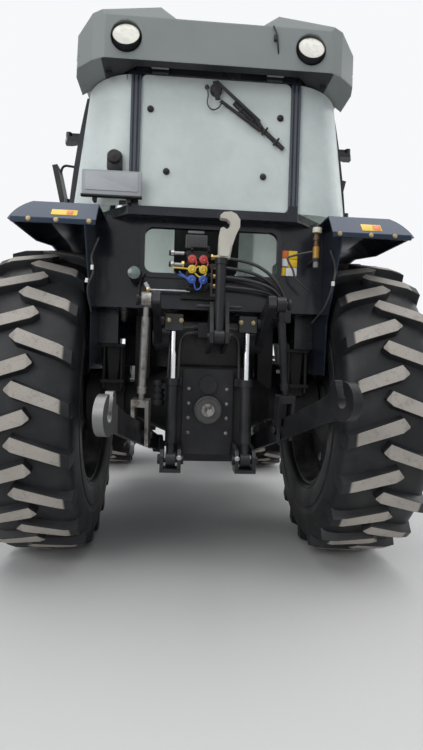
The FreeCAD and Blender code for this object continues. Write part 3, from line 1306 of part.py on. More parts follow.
def valve_block():
    """Remote valve stack behind the cab: four sections, six couplers, the rail on top and the pressure unions."""
    parts = [box(valve_left + 6, valve_right - 6, -545, panel_back, 1478, 1680)]
    for z in valve_sections:
        parts.append(box(valve_left, valve_right, -560, -492, z - 21, z + 21))
        parts.append(rod((valve_right - 10, -530, z), (valve_right + 16, -530, z), 15))
    parts.append(box(valve_left - 26, valve_right + 60, panel_back - 24, panel_back, 1440, 1500))
    for z in coupler_rows:
        for x in coupler_columns:
            parts.append(rod((x, -640, z), (x, -555, z), 17))
            parts.append(rod((x, -600, z), (x, -575, z), 21))
    # rail over the stack and its two stays
    parts.append(rod((-112, -600, 1688), (-16, -600, 1688), 6))
    for x in (-106, -22):
        parts.append(box(x - 5, x + 5, -604, -545, 1672, 1692))
    # pressure unions out to the left
    for z in (1611, 1669):
        parts.append(rod((valve_left + 10, -530, z), (-200, -530, z), 9))
        parts.append(rod((-222, -530, z), (-196, -530, z), 13))
    return joined(*parts)


def coupler_caps():
    return [rod((x, -666, z), (x, -640 - seat_gap, z), 20) for z in coupler_rows for x in coupler_columns]


manifold_back = -560.0
manifold_high = 1310.0
hose_radius = 8.5
hose_fall_y = -530.0


def manifold():
    """Block on the lift housing's back that feeds the two cylinders, with its unions."""
    y = -shaft_back - 100 - seat_gap
    block = prism_x([(manifold_back, 1238), (manifold_back, manifold_high), (-474, manifold_high),
                     (-shaft_back - 72 - seat_gap, 1316), (y, shaft_height - 60), (y, 1238)], -62, 62)
    unions = []
    for sign in (-1, 1):
        for z in (1262, 1290):
            unions.append(rod((sign * 50, hose_fall_y, z), (sign * 84, hose_fall_y, z), 13))
    return joined(block, *unions)


def hose_block(sign):
    """Block on the housing's back in which the cylinder hoses end."""
    x0, x1 = sorted((sign * 136, sign * 222))
    return box(x0, x1, -548, housing_back - seat_gap, 990, 1030)


def canister():
    """Ribbed filter bowl beside the housing, under the left trumpet's flange."""
    x, y, z = -262.0, -420.0, 875.0
    parts = [rod((x, y, z), (x, y, z + 135), 27)]
    for k in range(4):
        parts.append(rod((x, y, z + 6 + 34 * k), (x, y, z + 26 + 34 * k), 33))
    parts.append(box(x, -housing_half - seat_gap, y - 22, y + 22, z + 90, z + 120))
    return joined(*parts)


def bend_radius(points, share=0.45):
    """Largest arc for all corners of a route: share of the shorter run over the tangent of half the turn."""
    best = 1e9
    for i in range(1, len(points) - 1):
        before = V(*points[i]) - V(*points[i - 1])
        after = V(*points[i + 1]) - V(*points[i])
        turn = before.getAngle(after)
        best = min(best, share * min(before.Length, after.Length) / math.tan(turn / 2))
    return best


def hose(points, radius):
    bend = bend_radius(points)
    print("hose bend radius", round(bend))
    return bent_tube(points, radius, bend)


# route of each hose on the left side; the right hand pair is its mirror image
cylinder_hoses = [
    [(-84.4, hose_fall_y, 1262), (-140, hose_fall_y, 1262), (-156, hose_fall_y, 1180), (-158, hose_fall_y, 1030.4)],
    [(-84.4, hose_fall_y, 1290), (-176, hose_fall_y, 1290), (-207, hose_fall_y, 1180), (-209, hose_fall_y, 1030.4)],
]
valve_hose_end = (380.0, 1390.0)             # x, z of the block where they go forward under the cab


def valve_hoses():
    """Four hoses from the valve stack's unions over to the right and down into their block."""
    pieces = []
    x_last, z_last = valve_hose_end
    for k, z in enumerate(valve_sections):
        y = -530 - 19 * (k % 2)
        x_end = x_last + 19 * (k // 2)
        knee = z_last + 84 + 0.55 * (z - z_last - 90)
        route = [(valve_right + 16.4, -530, z), (valve_right + 120 + 25 * k, -530, z), (x_last - 80 + 8 * k, y, knee),
                 (x_end, y, z_last + 50), (x_end, y, z_last + 0.4)]
        pieces.append(hose(route, hose_radius))
    return pieces


def valve_hose_block():
    x, z = valve_hose_end
    return box(x - 14, x + 36, -560, panel_y - seat_gap, z - 60, z)


def hoses():
    """Arched hoses of the cylinders and the four hoses of the valves."""
    pieces = []
    for points in cylinder_hoses:
        left = hose(points, hose_radius)
        pieces += [left, mirrored(left)]
    return Part.makeCompound(pieces + valve_hoses())


def make_cab():
    save("cab_frame", cab_frame())
    save("cab_roof", cab_roof())
    save("work_lamps", work_lamps())
    save("cab_glass", Part.makeCompound([windscreen(), rear_window(), corner_glass(1), corner_glass(-1)]))
    frame, pane = door_frame(), door_glass()
    save("door_frame_right", frame)
    save("door_frame_left", mirrored(frame))
    save("door_glass_right", pane)
    save("door_glass_left", mirrored(pane))
    save("fenders", Part.makeCompound([fender(1), fender(-1)]))
    save("seat", seat())
    save("dash", dash())
    save("steering_wheel", steering_wheel())
    save("mirrors", mirrors())
    save("side_tanks", Part.makeCompound([fuel_tank(), battery_box(), steps(1), steps(-1)] + tank_brackets()))
    save("exhaust", exhaust())
    save("bonnet", bonnet())
    save("grille", Part.makeCompound([grille()] + head_lamps().Solids))
    save("hoses", hoses())
    save("valve_block", Part.makeCompound([valve_block(), valve_hose_block()] + coupler_caps()))


def main():
    os.makedirs("parts", exist_ok=True)
    make_wheels()
    make_front_axle()
    make_chassis()
    make_linkage()
    make_cab()


main()
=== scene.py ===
"""Looks of the farm tractor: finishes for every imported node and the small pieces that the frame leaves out.

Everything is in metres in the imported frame: +Y is the tractor's front, +X its right hand side, +Z up,
and the origin lies on the ground under the middle of the machine.
"""
import math

import bmesh
import bpy
import numpy as np
from mathutils import Matrix, Vector


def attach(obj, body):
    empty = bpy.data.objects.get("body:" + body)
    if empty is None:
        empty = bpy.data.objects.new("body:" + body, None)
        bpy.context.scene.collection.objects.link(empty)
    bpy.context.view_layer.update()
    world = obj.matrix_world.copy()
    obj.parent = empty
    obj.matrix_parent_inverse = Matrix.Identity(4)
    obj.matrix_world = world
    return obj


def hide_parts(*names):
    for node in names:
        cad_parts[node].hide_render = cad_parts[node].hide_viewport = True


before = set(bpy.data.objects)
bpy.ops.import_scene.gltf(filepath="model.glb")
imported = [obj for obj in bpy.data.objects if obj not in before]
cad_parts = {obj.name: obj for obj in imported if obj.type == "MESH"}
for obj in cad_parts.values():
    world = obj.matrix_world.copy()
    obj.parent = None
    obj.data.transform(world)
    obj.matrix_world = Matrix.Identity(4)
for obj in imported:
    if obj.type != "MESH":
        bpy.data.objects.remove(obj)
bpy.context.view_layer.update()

rear_axle = (-0.995, 0.877)      # Y, Z of the rear axle
front_axle = (1.605, 0.633)
right_x, back_y, front_y, up_z = (1, 0, 0), (0, -1, 0), (0, 1, 0), (0, 0, 1)


# Shader building blocks

class Web:
    """A node tree with short ways to add nodes to it."""

    def __init__(self, tree):
        self.tree = tree

    def feed(self, socket, value):
        if isinstance(value, bpy.types.NodeSocket):
            self.tree.links.new(value, socket)
        else:
            socket.default_value = value

    def put(self, kind, links=None, **settings):
        """One node with its settings; links maps an input's name or number to a socket or a value."""
        node = self.tree.nodes.new("ShaderNode" + kind)
        for name, value in settings.items():
            setattr(node, name, value)
        for key, value in (links or {}).items():
            self.feed(node.inputs[key], value)
        return node

    def maths(self, operation, a, b, clamp=False):
        return self.put("Math", {0: a, 1: b}, operation=operation, use_clamp=clamp).outputs[0]

    def times(self, a, b):
        return self.maths("MULTIPLY", a, b)

    def plus(self, a, b, clamp=False):
        return self.maths("ADD", a, b, clamp)

    def ramp(self, value, low, high, to_low=0.0, to_high=1.0):
        """Value carried smoothly from low..high to to_low..to_high, held at both ends."""
        links = {0: value, 1: low, 2: high, 3: to_low, 4: to_high}
        return self.put("MapRange", links, interpolation_type="SMOOTHSTEP").outputs[0]

    def blended(self, amount, first, second):
        """Two colours, each a socket or a tone, mixed by amount."""
        first, second = (c if isinstance(c, bpy.types.NodeSocket) else (*c[:3], 1) for c in (first, second))
        mixed = self.put("Mix", data_type="RGBA")
        for index, value in ((0, amount), (6, first), (7, second)):
            self.feed(mixed.inputs[index], value)
        return mixed.outputs[2]

    def place(self):
        return self.put("TexCoord").outputs["Object"]

    def split_place(self):
        return self.put("SeparateXYZ", {0: self.place()}).outputs

    def noise(self, scale, detail, roughness=0.5, distortion=0.0, where=None):
        """Cloudy noise between 0 and 1 on the object's coordinates."""
        links = {"Vector": where or self.place(), "Scale": scale, "Detail": detail, "Roughness": roughness,
                 "Distortion": distortion}
        return self.put("TexNoise", links).outputs["Fac"]

    def waves(self, scale, distortion, detail, direction):
        links = {"Vector": self.place(), "Scale": scale, "Distortion": distortion, "Detail": detail}
        return self.put("TexWave", links, bands_direction=direction).outputs["Fac"]

    def use(self, group, **inputs):
        """Outputs of a shared group; an input's name is written with _ for a space."""
        node = self.put("Group", node_tree=group)
        for label, value in inputs.items():
            self.feed(node.inputs[label.replace("_", " ")], value)
        return node.outputs

    def lead(self, shader, colour, dull, **bump):
        """Colour, dullness and a bumped normal led into the shader."""
        self.feed(shader.inputs["Base Color"], colour)
        self.feed(shader.inputs["Roughness"], dull)
        if bump:
            self.feed(shader.inputs["Normal"], self.put("Bump", bump).outputs[0])


def shared_group(name, inputs, outputs, build):
    """Shader group with named sockets, from a function that turns its web and inputs into its outputs, in order."""
    tree = bpy.data.node_groups.new(name, "ShaderNodeTree")
    for label, value in inputs.items():
        tree.interface.new_socket(label, in_out="INPUT", socket_type="NodeSocketFloat").default_value = value
    for label, kind in outputs.items():
        tree.interface.new_socket(label, in_out="OUTPUT", socket_type="NodeSocket" + kind)
    end = tree.nodes.new("NodeGroupOutput")
    for label, socket in zip(outputs, build(Web(tree), tree.nodes.new("NodeGroupInput").outputs)):
        tree.links.new(socket, end.inputs[label])
    return tree


def rounded_edges(web, ins):
    """Edges of a rigid piece: a mask that is high where rounding turns the normal, and the rounded normal."""
    rounded = web.put("Bevel", {"Radius": ins["Radius"]}, samples=3).outputs[0]
    plain = web.put("NewGeometry").outputs["Normal"]
    facing = web.put("VectorMath", {0: rounded, 1: plain}, operation="DOT_PRODUCT").outputs["Value"]
    turned = web.ramp(web.maths("SUBTRACT", 1.0, facing), 0.01, 0.16)
    return web.times(turned, web.ramp(web.noise(ins["Breakup"], 3.0), 0.38, 0.62)), rounded


def settled_dust(web, ins):
    """Dust that settles on faces which look up and gathers in soft patches."""
    up = web.put("SeparateXYZ", {0: web.put("NewGeometry").outputs["Normal"]}).outputs["Z"]
    lying = web.ramp(up, -0.25, 0.95, 0.22, 1.0)
    patches = web.ramp(web.noise(ins["Patch size"], 5.0, 0.62), 0.36, 0.72)
    fine = web.ramp(web.noise(210.0, 2.0), 0.3, 0.7, 0.55, 1.0)
    return [web.times(web.times(lying, patches), web.times(fine, ins["Amount"]))]


def grain_of(web, ins):
    """Fine pebbled grain or cast skin as a height, and a slow change of tone."""
    return web.noise(ins["Scale"], 4.0, ins["Roughness"]), web.ramp(web.noise(3.2, 4.0, 0.55), 0.3, 0.7)


edge_group = shared_group("rounded_edges", {"Radius": 0.002, "Breakup": 40.0}, {"Mask": "Float", "Normal": "Vector"},
                          rounded_edges)
dust_group = shared_group("settled_dust", {"Amount": 0.5, "Patch size": 6.0}, {"Mask": "Float"}, settled_dust)
grain_group = shared_group("grain", {"Scale": 300.0, "Roughness": 0.6}, {"Height": "Float", "Tone": "Float"}, grain_of)


# Camera, at the photograph's place: behind the tractor and low, a little to the left

def placed(name, data):
    """New object for the data, in the scene."""
    thing = bpy.data.objects.new(name, data)
    bpy.context.scene.collection.objects.link(thing)
    return thing


def place_camera(focal=495.7, picture_height=750):
    yaw, pitch, roll = (math.radians(a) for a in (3.94, -0.61, 1.67))
    forward = Vector((math.sin(yaw) * math.cos(pitch), math.cos(yaw) * math.cos(pitch), math.sin(pitch)))
    level = Vector((math.cos(yaw), -math.sin(yaw), 0))
    above = level.cross(forward)
    right = math.cos(roll) * level + math.sin(roll) * above
    up = -math.sin(roll) * level + math.cos(roll) * above
    data = bpy.data.cameras.new("view_from_behind")
    data.sensor_width = 36.0
    data.lens = 36.0 * focal / picture_height
    camera = placed("view_from_behind", data)
    turn = Matrix((right, up, -forward)).transposed().to_4x4()
    camera.matrix_world = Matrix.Translation((-0.162, -4.093, 1.074)) @ turn
    bpy.context.scene.camera = camera


place_camera()


# Light, floor and background: the soft sky lights the tractor, the white one is what is seen and mirrored

def area_light(name, place, aim, side, power):
    data = bpy.data.lights.new(name, "AREA")
    data.shape = "RECTANGLE"
    data.size = data.size_y = side
    data.energy = power
    lamp = placed(name, data)
    lamp.location = place
    lamp.rotation_mode = "QUATERNION"
    lamp.rotation_quaternion = (Vector(aim) - Vector(place)).to_track_quat("-Z", "Y")


area_light("sky_panel", (0.0, -1.5, 9.0), (0, 0, 0.8), 10, 600)
area_light("behind_left", (-6.0, -8.0, 5.0), (0, -1, 1.2), 5, 280)
area_light("right_fill", (7.0, 1.0, 4.0), (0, 0, 1.0), 5, 150)

world = bpy.data.worlds.new("studio")
bpy.context.scene.world = world
world.use_nodes = True
world.node_tree.nodes.clear()
sky = Web(world.node_tree)
rays = sky.put("LightPath").outputs
seen = sky.maths("MAXIMUM", rays["Is Camera Ray"], rays["Is Transmission Ray"])
seen = sky.maths("MAXIMUM", seen, rays["Is Glossy Ray"])
soft = sky.put("Background", {"Color": (0.8, 0.86, 0.95, 1), "Strength": 0.5})
white = sky.put("Background", {"Color": (0.93, 0.94, 0.96, 1)})
both = sky.put("MixShader", {0: seen, 1: soft.outputs[0], 2: white.outputs[0]})
sky.put("OutputWorld", {0: both.outputs[0]})

floor_mesh = bpy.data.meshes.new("floor")
floor_mesh.from_pydata([(-30, -30, 0), (30, -30, 0), (30, 30, 0), (-30, 30, 0)], [], [(0, 1, 2, 3)])
placed("floor", floor_mesh)


def new_finish(name, **constants):
    """Material with an empty Principled shader; constants are set on its own sockets, unlinked."""
    material = bpy.data.materials.new(name)
    material.use_nodes = True
    shader = material.node_tree.nodes["Principled BSDF"]
    for label, value in constants.items():
        shader.inputs[label.replace("_", " ")].default_value = value
    return material, Web(material.node_tree), shader


floor_mesh.materials.append(new_finish("pale_floor", Base_Color=(0.62, 0.61, 0.59, 1), Roughness=0.8)[0])
bpy.context.scene.view_settings.view_transform = "Standard"


# Finishes, each with its own tones, gloss, grain and wear

def coated(name, tone, second, rough, grain, dust, dust_tone=(0.3, 0.28, 0.25), edge_wear_and_highlight_tone=(0.3, 0.3, 0.31), edge_wear_and_highlight=0.0,
           bevel=0.002, **constants):
    """Paint, moulding or casting: two tones in slow patches, dust on top, a lighter tone on the edges and a fine grain;
    the edge tone is wear, and on the roof it is a painted highlight along the rounded edges.
    """
    material, web, shader = new_finish(name, **constants)
    skin = web.use(grain_group, Scale=grain[0])
    edges = web.use(edge_group, Radius=bevel)
    lying = web.use(dust_group, Amount=dust)["Mask"]
    colour = web.blended(lying, web.blended(skin["Tone"], tone, second), dust_tone)
    colour = web.blended(web.times(edges["Mask"], edge_wear_and_highlight), colour, edge_wear_and_highlight_tone)
    dull = web.plus(web.ramp(skin["Tone"], 0, 1, *rough), web.times(lying, 0.45), clamp=True)
    web.lead(shader, colour, dull, Strength=grain[1], Distance=0.001, Height=skin["Height"], Normal=edges["Normal"])
    return material


def machined(name, tone, rough, streak=(1, 1, 1), stain=(0.1, 0.07, 0.05), stained=0.25, bevel=0.0015):
    """Bare or plated metal: streaks along its length, dull stains in patches, brighter on the edges."""
    material, web, shader = new_finish(name, Metallic=1.0)
    along = web.put("Mapping", {"Vector": web.place(), "Scale": streak}).outputs[0]
    lines = web.noise(90.0, 5.0, 0.7, where=along)
    edges = web.use(edge_group, Radius=bevel)
    dirty = web.times(web.ramp(web.noise(22.0, 5.0, 0.65), 0.45, 0.68), stained)
    colour = web.blended(dirty, web.blended(lines, tuple(c * 0.8 for c in tone), tone), stain)
    colour = web.blended(edges["Mask"], colour, tuple(min(1.0, c * 1.25) for c in tone))
    dull = web.plus(web.ramp(lines, 0.3, 0.7, rough * 0.7, rough * 1.35), web.times(dirty, 0.5), clamp=True)
    web.lead(shader, colour, dull, Strength=0.12, Distance=0.001, Height=lines, Normal=edges["Normal"])
    return material


def pane(name, tint, film, rough=0.02):
    """Safety glass: tinted and clear, under a thin smeared pale film, a little stronger higher up, that is dust and a
    painted reflection of the sky; it lets light past.
    """
    material, web, shader = new_finish(name, Transmission_Weight=1.0, IOR=1.45)
    smear = web.ramp(web.noise(5.0, 6.0, 0.6), 0.35, 0.7, 0.86, 1.0)
    rise = web.ramp(web.split_place()["Z"], 1.85, 2.3, 0.92, 1.05)
    dirty = web.times(web.times(smear, rise), film)
    web.lead(shader, web.blended(dirty, tint, tuple(c * 0.86 for c in tint)), web.plus(rough, web.times(dirty, 0.25)))
    # Pale diffuse layer: dust on the glass, and a painted reflection of the sky.
    dust = web.put("BsdfDiffuse", {"Color": (0.74, 0.78, 0.77, 1)})
    dusty = web.put("MixShader", {0: web.times(dirty, 0.9), 1: shader.outputs[0], 2: dust.outputs[0]})
    clear = web.put("BsdfTransparent", {"Color": (*tint, 1)})
    shade = web.put("LightPath").outputs["Is Shadow Ray"]
    both = web.put("MixShader", {0: shade, 1: dusty.outputs[0], 2: clear.outputs[0]})
    web.feed(material.node_tree.nodes["Material Output"].inputs["Surface"], both.outputs[0])
    return material


def tread_rubber(name):
    """Tyre rubber: charcoal with a bluish sheen; pale grey-brown dust on the faces of the bars, thin dust in between.

    The attribute lug_face is 1 on a bar's outer face, lower on its flanks and 0 on the carcass."""
    material, web, shader = new_finish(name, Specular_IOR_Level=0.28)
    face = web.put("Attribute", attribute_name="lug_face").outputs["Fac"]
    skin = web.use(grain_group, Scale=240.0)
    smears = web.noise(34.0, 6.0, 0.7, 0.6)
    chips = web.ramp(web.noise(130.0, 3.0, 0.6), 0.28, 0.42, 0.62, 1.0)
    broad = web.noise(7.0, 3.0)
    dusty = web.times(web.times(web.ramp(smears, 0.3, 0.47, 0.72, 1.0), chips), web.ramp(face, 0.72, 0.98))
    film = web.use(dust_group, Amount=0.26, Patch_size=4.5)["Mask"]
    film = web.maths("MAXIMUM", film, web.times(web.ramp(broad, 0.35, 0.7), 0.22))
    rubber = web.blended(skin["Tone"], (0.0085, 0.0092, 0.0108), (0.017, 0.018, 0.0205))
    rubber = web.blended(film, rubber, (0.085, 0.082, 0.078))
    pale = web.blended(broad, (0.33, 0.3, 0.265), (0.47, 0.43, 0.385))
    dull = web.plus(web.ramp(skin["Tone"], 0, 1, 0.42, 0.56), web.times(dusty, 0.4), clamp=True)
    height = web.plus(skin["Height"], web.times(smears, 1.6))
    web.lead(shader, web.blended(dusty, rubber, pale), dull, Strength=0.22, Distance=0.0015, Height=height)
    return material


def lens(name, tone, flutes_across=170.0):
    """Lamp lens: pale reflector seen through fluted glass, under a clear coat."""
    material, web, shader = new_finish(name, Coat_Weight=1.0, Coat_Roughness=0.03, Metallic=0.0)
    flutes = web.waves(flutes_across / 3, 0.2, 0.0, "X")
    glow = web.noise(26.0, 1.0)
    colour = web.blended(web.ramp(glow, 0.35, 0.65), tuple(c * 0.72 for c in tone), tone)
    colour = web.blended(web.times(flutes, 0.4), colour, tuple(min(0.95, c * 1.3) for c in tone))
    web.lead(shader, colour, web.ramp(glow, 0.3, 0.7, 0.18, 0.34), Strength=0.35, Distance=0.002, Height=flutes)
    return material


def woven(name, tone, second, pitch=0.004):
    """Seat cloth: over-and-under threads on Object coordinates, a little fuzz and a faint sheen."""
    material, web, shader = new_finish(name, Sheen_Weight=0.3, Sheen_Roughness=0.5)
    across, upright, along = (web.waves(0.05 / pitch, 1.2, 1.0, axis) for axis in "XZY")
    weave = web.times(across, web.maths("MAXIMUM", upright, along))
    dusty = web.times(web.use(dust_group, Amount=0.3)["Mask"], 0.7)
    fuzz = web.ramp(web.use(grain_group, Scale=700.0)["Height"], 0.3, 0.7, 0.8, 0.95)
    web.lead(shader, web.blended(dusty, web.blended(weave, second, tone), (0.22, 0.21, 0.2)), fuzz,
             Strength=0.4, Distance=0.001, Height=weave)
    return material


def patched(name, base, *patches):
    """Copy of a finish in which boxes of the object's coordinates carry another tone, dullness and share of metal."""
    material = base.copy()
    material.name = name
    web = Web(material.node_tree)
    shader = material.node_tree.nodes["Principled BSDF"]
    place = web.split_place()
    skin = web.use(grain_group, Scale=200.0)
    colour, dull = (shader.inputs[label].links[0].from_socket for label in ("Base Color", "Roughness"))
    metal = shader.inputs["Metallic"].default_value
    for spans, tone, rough, metallic in patches:
        inside = 1.0
        for axis, (low, high) in spans.items():
            inside = web.times(inside, web.maths("GREATER_THAN", place[axis], low))
            inside = web.times(inside, web.maths("LESS_THAN", place[axis], high))
        outside = web.maths("SUBTRACT", 1.0, inside)
        colour = web.blended(inside, colour, web.blended(skin["Tone"], tuple(c * 0.78 for c in tone), tone))
        patch_dull = web.ramp(skin["Height"], 0.3, 0.7, rough * 0.85, rough * 1.15)
        dull = web.plus(web.times(dull, outside), web.times(patch_dull, inside))
        metal = web.plus(web.times(metal, outside), web.times(inside, metallic))
    web.lead(shader, colour, dull)
    web.feed(shader.inputs["Metallic"], metal)
    return material


finish = {
    "tread": tread_rubber("tread_rubber"),
    "rim": coated("rim_paint", (0.03, 0.031, 0.033), (0.045, 0.045, 0.046), (0.42, 0.6), (90.0, 0.1), 0.5, edge_wear_and_highlight=0.25),
    "gloss_black": coated(
        "gloss_black_paint", (0.0085, 0.0098, 0.015), (0.0125, 0.014, 0.02), (0.16, 0.3), (60.0, 0.035), 0.2,
        edge_wear_and_highlight=0.18, bevel=0.003, Specular_IOR_Level=0.3, Coat_Weight=0.12, Coat_Roughness=0.12),
    "satin_black": coated(
        "satin_black_paint", (0.0095, 0.01, 0.0125), (0.017, 0.0175, 0.0205), (0.3, 0.48), (120.0, 0.1), 0.22,
        edge_wear_and_highlight=0.3, Specular_IOR_Level=0.26),
    "cast_black": coated(
        "black_casting", (0.0125, 0.0122, 0.0138), (0.024, 0.0225, 0.024), (0.38, 0.6), (180.0, 0.55), 0.38,
        (0.12, 0.11, 0.095), edge_wear_and_highlight=0.35, bevel=0.004, Specular_IOR_Level=0.26),
    "engine": coated(
        "engine_casting", (0.03, 0.031, 0.033), (0.052, 0.051, 0.05), (0.45, 0.65), (150.0, 0.5), 0.5, edge_wear_and_highlight=0.3),
    # The blue specular tint on the mudguards is a painted reflection of the blue sky in their gloss.
    "fender": coated(
        "mudguard_gloss", (0.0085, 0.012, 0.021), (0.012, 0.016, 0.026), (0.16, 0.26), (40.0, 0.02), 0.1,
        (0.12, 0.13, 0.15), edge_wear_and_highlight=0.08, bevel=0.006, Specular_Tint=(0.55, 0.72, 1.0, 1)),
    # The roof's pale edge tone, laid over a wide rounding, is a painted highlight along its rounded edges.
    "roof_shell": coated(
        "roof_moulding", (0.18, 0.2, 0.193), (0.205, 0.226, 0.217), (0.42, 0.58), (420.0, 0.1), 0.22,
        (0.27, 0.28, 0.27), (0.42, 0.46, 0.44), edge_wear_and_highlight=0.6, bevel=0.012, Coat_Weight=0.08, Coat_Roughness=0.3),
    "moulded_black": coated(
        "black_moulding", (0.012, 0.0122, 0.013), (0.021, 0.021, 0.022), (0.45, 0.62), (520.0, 0.35), 0.28,
        edge_wear_and_highlight=0.12, Specular_IOR_Level=0.25),
    "cab_trim": coated(
        "cab_trim_moulding", (0.06, 0.061, 0.063), (0.085, 0.085, 0.086), (0.5, 0.68), (640.0, 0.4), 0.3, edge_wear_and_highlight=0.1),
    "hose": coated("hose_rubber", (0.016, 0.0155, 0.016), (0.028, 0.027, 0.0275), (0.28, 0.42), (480.0, 0.18), 0.25),
    "exhaust": coated(
        "heatproof_black", (0.016, 0.0155, 0.0155), (0.034, 0.031, 0.029), (0.55, 0.75), (260.0, 0.3), 0.35,
        (0.13, 0.1, 0.08), (0.16, 0.11, 0.08), 0.4),
    "bonnet": coated(
        "bonnet_gloss", (0.0075, 0.0085, 0.0115), (0.011, 0.0125, 0.0155), (0.12, 0.22), (50.0, 0.02), 0.2,
        edge_wear_and_highlight=0.08, bevel=0.006, Coat_Weight=0.7, Coat_Roughness=0.08),
    "steel": machined("bare_steel", (0.42, 0.42, 0.43), 0.32),
    "worn_steel": machined("worn_link_steel", (0.3, 0.295, 0.285), 0.42, (6, 1, 6), stained=0.7),
    "chrome": machined("hard_chrome", (0.74, 0.74, 0.75), 0.09, (1, 1, 0.1), stained=0.08),
    "brass": machined("brass_fitting", (0.6, 0.42, 0.17), 0.3, stained=0.4),
    "zinc": machined("yellow_zinc", (0.46, 0.37, 0.2), 0.34, stained=0.5),
    "glass": pane("safety_glass", (0.84, 0.9, 0.87), film=0.7),
    "lens": lens("lamp_lens", (0.6, 0.59, 0.5)),
    "cloth": woven("seat_cloth", (0.042, 0.043, 0.046), (0.014, 0.0145, 0.016)),
}
cap_tones = {"red": (0.5, 0.035, 0.025), "yellow": (0.72, 0.5, 0.035), "blue": (0.02, 0.085, 0.42)}
cap_spans = {"red": (1.588, 1.64), "yellow": (1.538, 1.588), "blue": (1.48, 1.538)}
# Pale bluish strips along the posts of the gloss black frame: painted highlights where the posts' edges catch the
# light.
post_highlight_bars = [tuple(sorted((side * near, side * far))) for side in (-1, 1)
             for near, far in ((0.386, 0.394), (0.404, 0.416), (0.425, 0.441))]
finish |= {
    "link_left": patched("link_with_bright_claw", finish["satin_black"],
                         ({"Y": (-2.4, -2.105)}, (0.25, 0.25, 0.25), 0.48, 1.0)),
    "roof": patched("roof_with_dark_recess", finish["roof_shell"],
                    ({"X": (-0.575, 0.575), "Z": (2.0, 2.5685)}, (0.012, 0.013, 0.016), 0.6, 0.0)),
    "cab_frame": patched("frame_with_painted_highlight_bars", finish["gloss_black"], *(
        ({"X": bar, "Y": (-1.6, -1.54), "Z": (1.93, 2.55)}, (0.075, 0.088, 0.115), 0.4, 0.0) for bar in post_highlight_bars)),
    "cylinder_rod": patched("rod_with_black_clevis", finish["chrome"],
                            ({"Z": (1.262, 1.6)}, (0.013, 0.013, 0.014), 0.45, 0.0)),
    "top_link": patched("link_with_cream_hook", finish["satin_black"],
                        ({"Z": (1.605, 1.95)}, (0.6, 0.57, 0.49), 0.55, 0.0)),
    "valves": patched("valves_with_coloured_caps", finish["cast_black"], *(
        ({"Y": (-1.7, -1.6352), "Z": cap_spans[tint]}, tone, 0.35, 0.0) for tint, tone in cap_tones.items())),
}
dressed = {
    "rim": "rear_wheel_left rear_wheel_right front_wheel_left front_wheel_right",
    "tread": "rear_tyre_left rear_tyre_right front_tyre_left front_tyre_right",
    "gloss_black": "door_frame_left door_frame_right",
    "cab_frame": "cab_frame",
    "satin_black": "front_axle knuckle_left knuckle_right lift_arms lift_rod_right lower_link_right cylinder_barrels "
                   "rear_brackets",
    "cast_black": "transmission front_support front_weights",
    "engine": "engine_block",
    "fender": "fenders",
    "roof": "cab_roof",
    "moulded_black": "mirrors side_tanks grille work_lamps",
    "cab_trim": "dash steering_wheel",
    "hose": "hoses",
    "exhaust": "exhaust",
    "bonnet": "bonnet",
    "steel": "steering_rod",
    "worn_steel": "lift_rod_left pto_shaft",
    "link_left": "lower_link_left",
    "cylinder_rod": "cylinder_rods",
    "top_link": "top_link",
    "valves": "valve_block",
    "glass": "cab_glass door_glass_left door_glass_right",
    "cloth": "seat",
}
for name, members in dressed.items():
    for member in members.split():
        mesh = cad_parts[member].data
        mesh.materials.clear()
        mesh.materials.append(finish[name])


# Helpers for pieces: places, grids, curves and profiles, worked out as whole arrays

def at_rear(x, y, z):
    """A place given from the rear axle's middle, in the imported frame."""
    return np.array([x, y + rear_axle[0], z])


def unit(direction):
    direction = np.asarray(direction, float)
    return direction / np.linalg.norm(direction)


def piece(name, vertices, faces, material, body, replaces=(), slot=None):
    """Smooth mesh object from arrays, with its material, riding on a body."""
    mesh = bpy.data.meshes.new(name)
    mesh.from_pydata([tuple(v) for v in np.asarray(vertices, float).tolist()], [], [tuple(f) for f in faces])
    mesh.validate()
    mesh.polygons.foreach_set("use_smooth", np.ones(len(mesh.polygons), bool))
    mesh.materials.append(material)
    thing = placed(name, mesh)
    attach(thing, body)
    if replaces:
        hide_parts(*replaces)
    return thing


def grid_faces(rows, columns, wrap_rows=False, wrap_columns=False, first=0):
    """Quads of a grid whose vertices run row by row; either direction may close on itself."""
    i = np.arange(rows if wrap_rows else rows - 1)[:, None]
    j = np.arange(columns if wrap_columns else columns - 1)[None, :]
    below, beside = (i + 1) % rows, (j + 1) % columns
    corners = [i * columns + j, i * columns + beside, below * columns + beside, below * columns + j]
    return np.stack(corners, axis=-1).reshape(-1, 4) + first


def closed_faces(rows, columns, first_turned=False):
    """Faces of a tube of rows round rings, with a face over each end; first_turned turns both ends about."""
    faces = [tuple(f) for f in grid_faces(rows, columns, wrap_columns=True).tolist()]
    first, last = range(columns), range((rows - 1) * columns, rows * columns)
    ends = (first[::-1], last) if first_turned else (first, last[::-1])
    return faces + [tuple(end) for end in ends]


def smooth_line(points, count):
    """Catmull-Rom curve through the points: each span is a cubic of its four nearest points."""
    p = np.asarray(points, float)
    p = np.vstack([2 * p[0] - p[1], p, 2 * p[-1] - p[-2]])
    t = np.linspace(0, len(p) - 3 - 1e-9, count)
    i = t.astype(int)
    f = (t - i)[:, None]
    a, b, c, d = p[i], p[i + 1], p[i + 2], p[i + 3]
    return 0.5 * (2 * b + (c - a) * f + (2 * a - 5 * b + 4 * c - d) * f ** 2 + (3 * b - a - 3 * c + d) * f ** 3)


